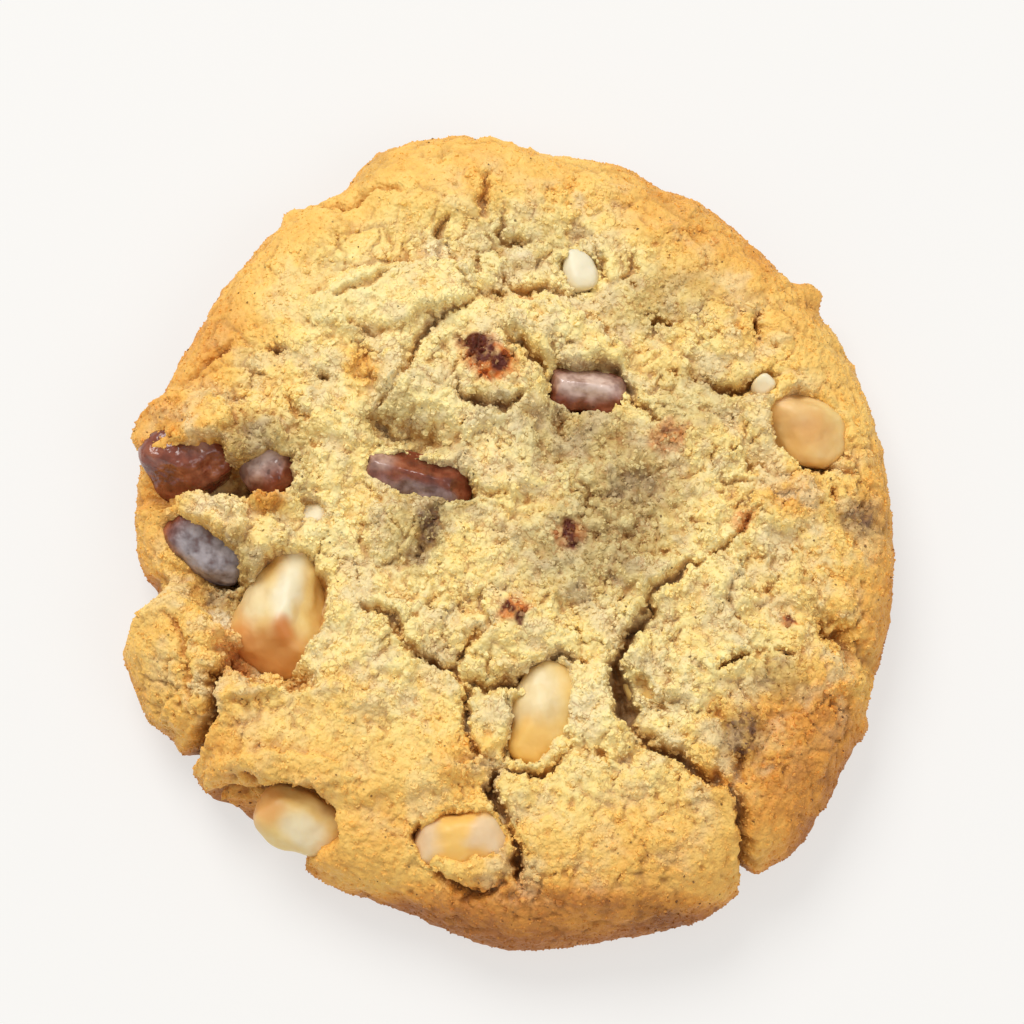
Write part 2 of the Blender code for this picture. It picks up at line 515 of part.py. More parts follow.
def main():
    for leftover in list(bpy.data.objects):
        bpy.data.objects.remove(leftover, do_unlink=True)
    pieces = new_collection("chocolate chip cookie")
    cutters = new_collection("pocket cutters")
    cutters.hide_render = True
    materials = {
        "dough": baked_material("baked dough", (0.80, 0.55, 0.24), 0.8),
        "chocolate": baked_material("milk chocolate", (0.16, 0.06, 0.04), 0.35),
        "nut": baked_material("macadamia", (0.82, 0.64, 0.36), 0.4),
    }
    dough = make_dough(materials["dough"], pieces)
    for item in INCLUSIONS:
        make_inclusion(item, item.name, materials[item.kind], pieces)
    cut_pockets(dough, materials, cutters)


main()
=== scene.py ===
"""A thick chocolate chip cookie with macadamia nuts, baked golden at the rim.

The dough is one closed skin whose cracks, lumps, windows and crumb are real relief. Crumbs are
scattered over it by a node tree. Chocolate and nuts are pieces of their own. Sizes are in
millimetres seen from above, +X to the right and +Y away from the viewer, and become metres
when a mesh is written.
"""

import math
from typing import NamedTuple

import bmesh
import bpy
import numpy as np
from mathutils import Matrix, Vector, noise

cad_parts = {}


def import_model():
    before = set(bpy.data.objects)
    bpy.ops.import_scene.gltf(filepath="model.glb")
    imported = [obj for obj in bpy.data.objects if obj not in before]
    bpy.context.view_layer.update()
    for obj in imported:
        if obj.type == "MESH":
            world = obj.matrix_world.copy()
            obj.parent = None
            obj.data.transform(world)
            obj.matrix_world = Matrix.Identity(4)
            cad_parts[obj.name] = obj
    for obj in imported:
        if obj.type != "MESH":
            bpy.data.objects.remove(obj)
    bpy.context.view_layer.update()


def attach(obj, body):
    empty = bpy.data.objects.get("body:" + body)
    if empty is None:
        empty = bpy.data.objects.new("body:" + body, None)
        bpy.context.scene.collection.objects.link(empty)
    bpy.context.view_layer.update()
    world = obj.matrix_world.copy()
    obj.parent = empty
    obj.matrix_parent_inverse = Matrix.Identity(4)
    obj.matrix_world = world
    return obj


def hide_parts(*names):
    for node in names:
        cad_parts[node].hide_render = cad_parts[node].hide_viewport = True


MM = 0.001

# Section of the cookie: heights in millimetres, widths as shares of the outline's radius
CROWN_HEIGHT = 15.2
CROWN_DROP = 2.3
WIDEST_HEIGHT = 5.2
SHOULDER_SHARE = 0.21
SHOULDER_POWER = 2.3
FOOT_SHARE = 0.07
DEEPEST_ON_CROWN = 6.5
DEEPEST_ON_RIM = 3.3

# Distance between the skin's points
TOP_SPACING = 0.3
SIDE_SPACING = 0.48
BASE_SPACING = 2.4
RING_PITCH = 0.866

# Relief of the crumb: bumps with sharp creases between them, given as length and height
SOFT_WAVE = 0.45
CRUMB_BILLOWS = ((6.0, 1.9), (2.9, 1.1), (1.35, 0.62), (0.7, 0.42))
CRUST_BILLOWS = ((4.0, 0.50), (1.6, 0.36), (0.8, 0.28))
CELL = 1.15
CELL_HEIGHT = 0.16
HAIR_CRACK_DEPTH = 0.6
HAIR_CRACK_WIDTH = 0.055
CLUMP = 4.2
CLUMP_STEP = 0.35
CLUMP_CRACK_DEPTH = 0.75
CLUMP_CRACK_WIDTH = 0.055
PIT_DEPTH = 0.5
RAGGED_EDGE = 0.75
RAGGED_FINE = 0.38
FOLD = 1.1
SMOOTHING_NEAR = 8
SMOOTHING_WIDE = 70

# Smooth noises in use: the length of their bumps in millimetres and a seed
WAVES = {
    "soft": (9.0, 3.7),
    "crust edge": (8.0, 5.1),
    "crust edge, fine": (3.0, 8.2),
    "ragged x": (1.9, 21.0),
    "ragged x, fine": (0.8, 22.0),
    "ragged y": (1.9, 31.0),
    "ragged y, fine": (0.8, 32.0),
    "fold x": (2.6, 83.0),
    "fold y": (2.6, 84.0),
    "clumps": (7.0, 85.0),
    "hair crack": (5.2, 17.0),
    "hair crack, fine": (1.4, 18.0),
    "hair crack, where": (9.0, 19.0),
    "pits": (1.15, 47.0),
    "browning": (6.0, 51.0),
    "browning, fine": (2.2, 52.0),
    "stain x": (1.4, 61.0),
    "stain x, fine": (0.7, 63.0),
    "stain y": (1.4, 62.0),
    "stain y, fine": (0.7, 64.0),
    "piece x": (1.5, 81.0),
    "piece y": (1.5, 82.0),
}

# Kinds of loose crumb, with sizes in metres. Roundness is the steps of each crumb's icosphere.
# A crumb's tone runs from 0 to Darkest, and one near 1 comes out dark
CRUMB_SETTINGS = ("Per square metre", "Largest", "Smallest share", "Roundness", "Unevenness",
                  "Seed", "Where", "Darkest")
CRUMB_KINDS = {
    "coarse_crumbs": (0.30e6, 0.0010, 0.45, 2, 0.0004, 3, "crumb", 0.97),
    "fine_crumbs": (1.3e6, 0.00064, 0.5, 1, 0.00026, 9, "crumb", 0.98),
    "crumb_grains": (1.4e6, 0.00044, 0.5, 1, 0.00018, 15, "crumb", 1.0),
    "crust_grains": (2.2e6, 0.00038, 0.5, 1, 0.00016, 21, "crust", 1.0),
}

# Colours in 0 to 255 steps. Ramps give them with their places, from 0 to 1
BAKED_RAMP = (
    (0.00, (255, 236, 168)),
    (0.16, (255, 226, 144)),
    (0.34, (253, 212, 120)),
    (0.55, (248, 194, 97)),
    (0.78, (232, 160, 67)),
    (1.00, (184, 114, 50)),
)
# Painted shade laid into the dough's hollows, from crumb to crust
HOLLOW_SHADE_RAMP = ((0.00, (216, 168, 96)), (0.40, (210, 148, 70)), (1.00, (138, 80, 34)))
CHOCOLATE_RAMP = ((0.30, (84, 36, 24)), (0.52, (132, 66, 44)), (0.75, (180, 112, 82)))
NUT_RAMP = ((0.30, (228, 190, 112)), (0.50, (236, 204, 132)), (0.72, (242, 218, 156)))
COLORS = {
    "faded crumb": (236, 214, 166),
    "pale dough": (255, 242, 204),
    "grey stain": (164, 149, 144),
    "chocolate smudge": (118, 94, 84),
    "rusty spot": (222, 128, 62),
    "burnt crust": (94, 34, 16),
    # Painted shade in the lines between crumbs
    "crevice": (168, 104, 40),
    # Painted shade in open cracks
    "open crack": (120, 74, 32),
    "speck in dough": (70, 44, 22),
    "dark crumb": (84, 52, 26),
    "dull bloom": (96, 82, 83),
    "light bloom": (172, 164, 168),
    "film on chocolate": (226, 200, 186),
    "speck in chocolate": (46, 20, 16),
    "white nut": (236, 226, 196),
    "tan nut": (220, 156, 88),
    "toasted nut": (208, 126, 52),
    "film on nut": (242, 196, 108),
    "speck in nut": (110, 74, 40),
}

# The studio: angles in degrees, places and sizes in metres, power in watts
CAMERA_ELEVATION = 76.0
CAMERA_DISTANCE = 0.70
CAMERA_AIM = (0.0, 0.0027, 0.007)
CAMERA_LENS = 223.0
WORLD_COLOR = (1.0, 0.99, 0.975, 1.0)
WORLD_STRENGTH = 0.5
LIGHTS = {
    "key light": ((-0.5, 1.0, 1.5), 1.1, 23.0, (1.0, 0.99, 0.975)),
    "fill light": ((0.9, -0.6, 1.4), 1.0, 4.0, (1.0, 1.0, 1.0)),
}
FLOOR_SIZE = 4.0
FLOOR_COLOR = (0.30, 0.297, 0.293, 1.0)
FLOOR_GLOW = (1.0, 0.985, 0.955, 1.0)
FLOOR_GLOW_STRENGTH = 0.622

# Plan outline at its widest, anticlockwise from the right
OUTLINE = (
    (41.9, 2.0), (40.3, 11.8), (36.0, 22.8), (29.3, 31.2), (21.8, 37.8), (17.4, 39.7),
    (12.9, 42.3), (4.0, 44.0), (-5.5, 45.2), (-14.9, 42.9), (-18.2, 39.2), (-22.8, 38.1),
    (-30.3, 30.9), (-35.7, 22.4), (-39.9, 12.2), (-41.7, -0.6), (-40.0, -6.4), (-41.7, -10.6),
    (-38.2, -20.1), (-35.1, -25.8), (-30.3, -31.6), (-25.3, -34.3), (-21.3, -37.8),
    (-11.9, -41.7), (-3.0, -45.2), (6.0, -45.4), (22.3, -40.8), (25.1, -37.8), (29.8, -34.9),
    (35.7, -25.4), (40.5, -14.2), (42.0, -4.9),
)


class Area(NamedTuple):
    """An elliptic area seen from above, and the amount of something in its middle.

    The amount is a lump's height, negative where it is sunken, or an effect's strength. A small
    edge makes its sides steep.
    """

    x: float
    y: float
    half_length: float
    half_width: float
    turn: float
    amount: float
    edge: float = 1.0


class Crack(NamedTuple):
    """A crack along a path. It tapers to both ends unless it runs out at the rim."""

    path: tuple
    width: float
    depth: float
    runs_out: bool = False


class Knob(NamedTuple):
    """A crumb baked on to the rim, standing out of it."""

    x: float
    y: float
    z: float
    radius: float
    height: float


class Flat(NamedTuple):
    """A plane face on a chopped nut or broken chocolate.

    It faces this way in plan, tilted this far from straight up, at this reach from the centre.
    """

    facing: float
    tilt: float
    reach: float


class Inclusion(NamedTuple):
    """A nut or a piece of chocolate: its centre, half sizes, turn and form."""

    name: str
    kind: str
    x: float
    y: float
    top: float
    half_length: float
    half_width: float
    half_height: float
    turn: float
    squareness: float = 1.0
    taper: float = 0.0
    flats: tuple = ()
    steps: int = 6


LUMPS = {
    "big_lump": Area(-5.5, 17.5, 9.5, 7.0, -10, 2.4, 0.5),
    "big_lump_foot": Area(-1.0, 14.5, 3.5, 2.6, 0, 0.5, 0.5),
    "ridge_above_lump": Area(-13.0, 25.5, 10.0, 3.6, 12, 2.5, 0.4),
    "ridge_right_of_lump": Area(5.5, 20.8, 7.5, 3.0, -25, 2.3, 0.4),
    "left_pad": Area(-19.0, 15.5, 6.0, 7.0, 30, 1.4, 0.4),
    "left_pad_low": Area(-22.5, 9.5, 7.0, 4.5, -35, 0.9, 0.5),
    "pad_right_of_chip": Area(-1.5, 7.5, 4.5, 5.5, 0, 1.4, 0.4),
    "pad_below_chip": Area(-12.5, -1.0, 3.6, 3.4, 0, 1.0, 0.6),
    "middle_swell": Area(7.0, 4.0, 14.0, 10.0, 20, 0.7, 1.0),
    "orange_pad": Area(29.5, 2.5, 4.2, 3.8, 0, 1.7, 0.4),
    "pad_left_of_right_nut": Area(22.5, 11.0, 5.5, 4.0, -20, 0.9, 0.5),
    "right_plate": Area(19.5, -12.0, 7.0, 8.5, -20, 1.3, 0.3),
    "lower_right_plate": Area(28.5, -25.0, 10.0, 11.0, 20, 0.6, 0.5),
    "lower_plate": Area(12.5, -34.5, 14.5, 8.5, -8, 1.0, 0.35),
    "nut_shelf": Area(8.5, -20.5, 4.5, 5.5, 60, 0.9, 0.4),
    "plate_left_of_middle": Area(-16.5, -14.5, 6.5, 7.0, 0, 1.2, 0.3),
    "plate_above_nut": Area(-1.0, -13.5, 8.0, 3.6, 12, 0.8, 0.35),
    "crumb_block": Area(-2.5, -21.8, 2.5, 4.2, -10, 1.0, 0.3),
    "lower_left_plate": Area(-20.0, -24.5, 13.5, 6.0, -12, 1.1, 0.35),
    "ledge_below_left_nut": Area(-28.5, -18.3, 4.2, 2.0, 10, 1.2, 0.4),
    "rim_block_left": Area(-36.5, -14.5, 5.5, 7.0, 0, 1.6, 0.35),
    "lip_over_rim_nut": Area(-25.5, -28.0, 7.5, 2.2, -5, 1.2, 0.4),
    "top_bulge": Area(-8.0, 40.2, 12.0, 5.0, -3, 1.0, 0.6),
    "cap_on_rim_chip": Area(-35.8, 10.8, 4.8, 4.2, 35, 2.2, 0.35),
    "film_on_round_chip": Area(-28.0, 8.8, 3.4, 2.8, 20, 1.6, 0.4),
    "flap_on_bloomed_chip": Area(-32.6, 1.3, 4.4, 2.5, -38, 2.4, 0.35),
    "film_on_left_nut": Area(-27.2, -2.6, 2.8, 3.4, 70, 1.6, 0.5),
    "crumb_below_lower_nut": Area(-5.0, -38.0, 4.2, 1.3, 0, 0.9, 0.6),
    "lump_left_face": Area(-10.5, 13.8, 3.8, 3.4, 20, 0.9, 0.6),
    "orange_crumb": Area(-27.0, 2.6, 1.8, 1.6, 0, 2.2, 0.6),
    "burnt_crust": Area(-3.0, 18.2, 2.8, 1.9, -25, 0.7, 0.5),
    "valley_by_chips": Area(-32.5, -7.0, 5.0, 3.2, -55, -3.4, 0.5),
    "hole_between_chips": Area(-31.2, 4.9, 3.2, 1.7, 25, -6.5, 0.4),
    "hole_under_left_nut": Area(-27.0, -16.2, 5.4, 1.7, -22, -4.2, 0.5),
    "hollow_round_rim_nut": Area(-27.0, -31.5, 5.0, 2.6, -30, -3.0, 0.5),
    "hollow_by_grey_nub": Area(-21.8, 0.6, 2.4, 1.6, 0, -0.6, 0.6),
    "valley_above_centre_chip": Area(-12.0, 9.6, 4.0, 1.6, -20, -2.2, 0.6),
    "dip_by_upper_chip": Area(6.0, 9.5, 1.5, 3.5, 0, -0.7, 0.8),
    "dip_in_middle": Area(16.0, 5.0, 4.0, 2.5, 30, -0.8, 0.8),
    "right_crag_hollow": Area(36.5, -13.5, 3.6, 2.0, -40, -1.8, 0.6),
    "left_rim_step": Area(-40.5, -6.8, 2.6, 2.0, 0, -1.2, 0.6),
}

CRACKS = {
    "main_start": Crack(((27.0, 1.5), (25.6, -1.0), (22.5, -3.2), (19.8, -5.0)), 1.0, 1.2),
    "main_upper": Crack(((20.5, -4.6), (17.5, -6.5), (15.2, -8.2), (15.0, -10.0)), 1.5, 2.6),
    "main_bend": Crack(((15.3, -9.0), (14.0, -12.0), (11.8, -14.2), (11.0, -16.0)), 1.9, 3.6),
    "main_gap": Crack(((11.2, -14.5), (11.5, -17.5), (12.3, -20.5), (13.4, -23.2)), 3.0, 5.5),
    "main_lower": Crack(((12.6, -21.5), (14.2, -24.3), (18.0, -26.3), (21.0, -28.3),
                         (24.0, -29.5)), 2.0, 3.4),
    "main_run_out": Crack(((24.0, -29.0), (24.6, -32.0), (25.2, -35.0), (25.2, -38.0),
                           (25.0, -42.5)), 1.9, 4.0, True),
    "main_branch": Crack(((24.6, -29.3), (24.6, -27.0), (24.2, -24.8)), 1.4, 1.8),
    "middle_left": Crack(((-17.0, -9.3), (-14.5, -10.4), (-12.2, -12.4), (-11.0, -15.0)),
                         1.2, 2.4),
    "middle_run": Crack(((-12.0, -14.4), (-9.0, -15.6), (-6.3, -16.8), (-5.2, -18.4)), 1.5, 3.0),
    "middle_branch": Crack(((-6.4, -16.6), (-5.0, -14.9), (-4.0, -13.2), (-2.4, -11.6)), 1.3, 2.0),
    "above_centre_nut": Crack(((-5.4, -18.0), (-3.0, -18.8), (0.0, -18.0), (3.0, -16.0),
                               (5.6, -15.0), (8.2, -16.0)), 1.3, 3.0),
    "block_left": Crack(((-5.2, -18.0), (-4.9, -21.5), (-4.4, -24.8), (-2.2, -26.8)), 1.1, 2.6),
    "block_right": Crack(((-0.6, -18.4), (-0.3, -21.5), (0.2, -24.5), (-0.9, -26.8)), 1.1, 3.0),
    "below_centre_nut": Crack(((-1.8, -26.8), (0.6, -28.2), (3.2, -28.4), (5.4, -26.4)), 1.3, 2.8),
    "lower_left_of_plate": Crack(((-1.0, -27.6), (-2.6, -29.6), (-1.6, -32.0), (0.0, -34.4)),
                                 1.7, 4.0),
    "lower_run_out": Crack(((-0.4, -33.4), (0.5, -36.2), (0.4, -38.6), (1.8, -40.8)), 1.3, 3.4),
    "left_of_lower_nut": Crack(((-10.2, -33.4), (-10.0, -35.6), (-9.1, -38.2)), 1.5, 3.6),
    "below_lower_nut": Crack(((-8.4, -39.4), (-6.0, -40.9), (-3.2, -41.6), (-0.8, -40.4)),
                             1.4, 2.4),
    "under_lip": Crack(((-33.4, -28.6), (-30.6, -30.2), (-27.6, -29.9), (-24.4, -29.4),
                        (-21.8, -30.8)), 1.4, 3.2),
    "left_notch": Crack(((-31.0, -15.0), (-32.6, -17.6), (-32.4, -20.4), (-33.6, -23.0),
                         (-35.3, -25.0), (-38.5, -27.5)), 2.0, 4.6, True),
    "left_block_seam": Crack(((-37.5, -10.0), (-35.2, -13.2), (-35.0, -16.6), (-34.4, -19.4)),
                             0.9, 1.0),
    "top_bulge_crease": Crack(((-11.8, 37.2), (-14.0, 38.2), (-16.2, 38.0), (-18.2, 36.8),
                               (-22.0, 37.5)), 1.3, 2.2, True),
    "top_split": Crack(((-2.0, 40.0), (-3.0, 37.6), (-3.5, 36.0), (-2.8, 34.2)), 1.3, 1.7),
    "top_pit_left": Crack(((-7.2, 34.8), (-7.9, 33.6), (-8.0, 32.2)), 1.1, 2.0),
    "top_pit_mid": Crack(((-1.0, 34.2), (-1.2, 32.4), (0.4, 31.2), (2.2, 32.0)), 1.1, 2.0),
    "top_pit_low": Crack(((-4.6, 29.6), (-4.0, 28.6), (-3.4, 27.6)), 1.0, 1.9),
    "arc_below_top_nut": Crack(((-1.4, 27.8), (1.2, 26.4), (3.6, 26.2), (5.8, 25.5), (7.6, 26.6)),
                               1.4, 1.9),
    "right_of_top_nut": Crack(((9.0, 31.0), (9.6, 29.0), (10.4, 27.6)), 0.9, 1.6),
    "far_top_crack": Crack(((13.6, 30.0), (13.0, 28.6), (11.8, 27.2)), 0.9, 1.4),
    "lump_crease": Crack(((-14.0, 13.4), (-12.2, 15.8), (-10.6, 18.8), (-9.2, 21.4), (-7.0, 23.2),
                          (-3.8, 24.6)), 1.3, 2.0),
    "lump_tail": Crack(((-13.6, 14.2), (-15.2, 11.6), (-13.6, 10.0), (-10.6, 9.8)), 1.3, 1.7),
    "crease_to_upper_chip": Crack(((-0.6, 21.0), (1.6, 18.6), (3.6, 16.8), (4.4, 15.2)), 1.5, 2.2),
    "above_upper_chip": Crack(((4.6, 17.2), (8.0, 17.6), (11.2, 16.8), (13.2, 13.6), (15.6, 11.2)),
                              1.6, 2.8),
    "below_big_lump": Crack(((-5.8, 15.2), (-5.0, 13.4), (-3.0, 12.6), (-0.6, 11.8), (1.2, 13.6)),
                            1.8, 2.9),
    "left_of_middle_dip": Crack(((4.6, 13.0), (5.2, 11.4), (5.6, 9.2)), 1.2, 1.5),
    "above_right_nut": Crack(((20.2, 16.2), (22.6, 14.9), (25.4, 14.8), (27.0, 16.2),
                              (29.8, 17.0)), 1.5, 2.6),
    "right_pit": Crack(((27.6, 24.0), (27.1, 22.6), (26.8, 21.2)), 1.3, 2.6),
    "middle_top_pit": Crack(((15.2, 22.2), (16.2, 22.4), (17.2, 22.6)), 1.1, 1.8),
    "below_right_nut": Crack(((30.6, 6.6), (33.4, 6.2), (35.6, 6.6), (38.0, 5.2)), 1.3, 2.6),
    "beside_right_nut": Crack(((34.8, 8.2), (36.2, 8.6), (37.2, 8.0)), 1.1, 1.8),
    "small_right_pit": Crack(((34.6, 4.0), (35.4, 3.2), (35.9, 2.4)), 0.9, 1.6),
    "right_split": Crack(((22.0, -17.0), (23.6, -16.0), (25.6, -14.8)), 1.0, 2.8),
    "right_pit_low": Crack(((28.6, -14.4), (29.5, -14.8), (30.4, -14.5)), 1.0, 2.0),
    "right_crag": Crack(((33.2, -11.0), (35.2, -12.6), (36.8, -12.4), (38.2, -15.0),
                         (37.2, -17.6)), 1.3, 2.2),
    "left_pits_upper": Crack(((-27.6, 19.6), (-26.0, 19.8), (-24.4, 19.6)), 1.0, 1.8),
    "left_pit_round": Crack(((-21.6, 15.8), (-20.8, 15.6), (-20.2, 16.2)), 1.4, 2.4),
    "left_crack_low": Crack(((-25.2, 13.6), (-23.2, 12.2), (-22.0, 11.0)), 1.0, 1.8),
    "pits_above_pad": Crack(((-18.0, 22.8), (-16.6, 21.6), (-15.2, 20.8)), 1.1, 1.6),
    "fold_upper_left": Crack(((-20.6, 24.8), (-17.6, 26.0), (-14.6, 27.4), (-12.2, 28.4)),
                             1.2, 1.1),
    "below_big_left_chip": Crack(((-36.6, 16.2), (-34.6, 17.4), (-32.4, 19.0), (-31.0, 21.0)),
                                 1.0, 1.1),
    "chip_tail": Crack(((-7.6, 1.8), (-9.2, -1.0), (-10.4, -4.0), (-12.4, -5.6)), 2.2, 1.6),
    "pit_by_orange_crumb": Crack(((-31.2, 4.6), (-29.7, 3.7), (-28.4, 2.8)), 3.0, 6.0),
    "between_left_chips": Crack(((-34.6, 3.9), (-32.2, 4.2), (-30.4, 5.2), (-29.4, 3.6)),
                                1.7, 3.0),
    "under_centre_chip": Crack(((-4.4, 5.6), (-4.2, 3.4), (-2.4, 2.4), (-0.4, 2.6)), 1.1, 1.5),
}
CRACK_SHARPNESS = 0.60
CRACK_DEEPENING = 1.08

KNOBS = {
    "crumb_on_right_rim": Knob(32.3, 26.9, 7.0, 1.9, 1.7),
    "crumb_on_left_rim": Knob(-25.0, 36.9, 8.0, 1.4, 0.9),
    "crumb_on_lower_rim": Knob(38.0, -21.5, 6.0, 1.6, 0.8),
}

INCLUSIONS = (
    Inclusion("chip_rim", "chocolate", -35.7, 8.1, 13.2, 4.9, 4.1, 4.0, 32, 0.55, 0.08,
              (Flat(245, 62, 3.6), Flat(300, 40, 3.8))),
    Inclusion("chip_round", "chocolate", -26.7, 6.5, 13.6, 3.1, 3.1, 3.1, 20, 0.85),
    Inclusion("chip_bloomed", "chocolate", -33.5, -1.7, 12.7, 5.2, 3.2, 3.2, -36, 0.75),
    Inclusion("chip_centre", "chocolate", -10.2, 4.9, 15.8, 6.0, 2.7, 2.9, -15, 0.62, 0.16,
              (Flat(75, 38, 2.0), Flat(255, 38, 2.0), Flat(-10, 55, 4.2))),
    Inclusion("chip_upper", "chocolate", 8.0, 14.8, 15.9, 4.4, 2.5, 2.9, -8, 0.66, 0.0,
              (Flat(84, 50, 2.0), Flat(262, 42, 2.1), Flat(180, 60, 3.6))),
    Inclusion("nut_left", "nut", -24.9, -8.9, 15.2, 7.6, 4.9, 4.8, 76, 0.88, 0.38,
              (Flat(0, 48, 3.6), Flat(150, 34, 3.8), Flat(250, 50, 5.6))),
    Inclusion("nut_right", "nut", 32.3, 11.2, 14.6, 5.0, 4.2, 4.0, -42, 0.76, 0.20,
              (Flat(-25, 24, 3.3), Flat(215, 52, 3.3), Flat(80, 56, 3.4))),
    Inclusion("nut_centre", "nut", 3.4, -21.1, 15.8, 6.1, 3.7, 3.6, 70, 0.80, -0.10,
              (Flat(165, 42, 2.9), Flat(-60, 30, 3.4), Flat(60, 20, 3.3))),
    Inclusion("nut_rim", "nut", -23.0, -32.4, 12.7, 4.9, 3.5, 3.5, -26, 0.80, 0.05,
              (Flat(-70, 34, 2.7), Flat(60, 45, 3.0))),
    Inclusion("nut_lower", "nut", -5.2, -35.2, 13.9, 5.4, 3.3, 3.2, 8, 0.82),
    Inclusion("nut_top", "nut", 7.3, 28.6, 15.3, 2.5, 2.0, 2.0, 108, 0.66, 0.15,
              (Flat(20, 14, 1.5), Flat(190, 55, 1.7)), 5),
    Inclusion("nut_bit_crack", "nut", 14.1, -18.5, 13.5, 2.5, 1.7, 2.2, -62, 0.80, 0.0,
              (Flat(200, 40, 1.5),), 5),
    Inclusion("nut_bit_left", "nut", -21.8, 1.3, 13.9, 1.7, 1.4, 1.6, 0, 0.75, 0.0,
              (Flat(120, 35, 1.1),), 5),
    Inclusion("nut_bit_right", "nut", 27.6, 15.5, 14.4, 1.5, 1.2, 1.5, 40, 0.72, 0.0,
              (Flat(240, 40, 1.0),), 5),
)

# Where the dough opens over an inclusion: a sunken patch that bares part of it
WINDOWS = {
    "chip_rim": Area(-36.0, 5.7, 5.3, 2.8, 27, -5.0, 0.3),
    "chip_round": Area(-26.5, 5.2, 2.9, 2.5, 30, -4.5, 0.35),
    "chip_bloomed": Area(-34.0, -2.9, 5.0, 2.4, -36, -5.0, 0.35),
    "chip_centre": Area(-9.6, 4.8, 5.6, 2.0, -15, -4.5, 0.3),
    "chip_upper": Area(8.1, 14.7, 4.2, 2.6, -8, -4.5, 0.3),
    "nut_left": Area(-24.8, -9.8, 6.5, 4.7, 80, -5.0, 0.22),
    "nut_right": Area(32.6, 10.8, 4.7, 3.9, -42, -4.5, 0.25),
    "nut_centre": Area(3.1, -21.2, 5.8, 3.0, 70, -4.5, 0.25),
    "nut_rim": Area(-23.2, -32.9, 4.5, 3.2, -26, -4.5, 0.3),
    "nut_lower": Area(-5.5, -35.0, 4.9, 2.5, 4, -2.4, 0.3),
    "nut_top": Area(7.3, 28.6, 2.3, 1.8, 108, -2.6, 0.3),
    "nut_bit_crack": Area(13.9, -18.3, 1.7, 1.1, -62, -2.6, 0.5),
    "nut_bit_left": Area(-21.8, 1.2, 1.4, 1.1, 0, -2.0, 0.4),
    "nut_bit_right": Area(27.6, 15.5, 1.5, 1.2, 40, -2.2, 0.5),
}

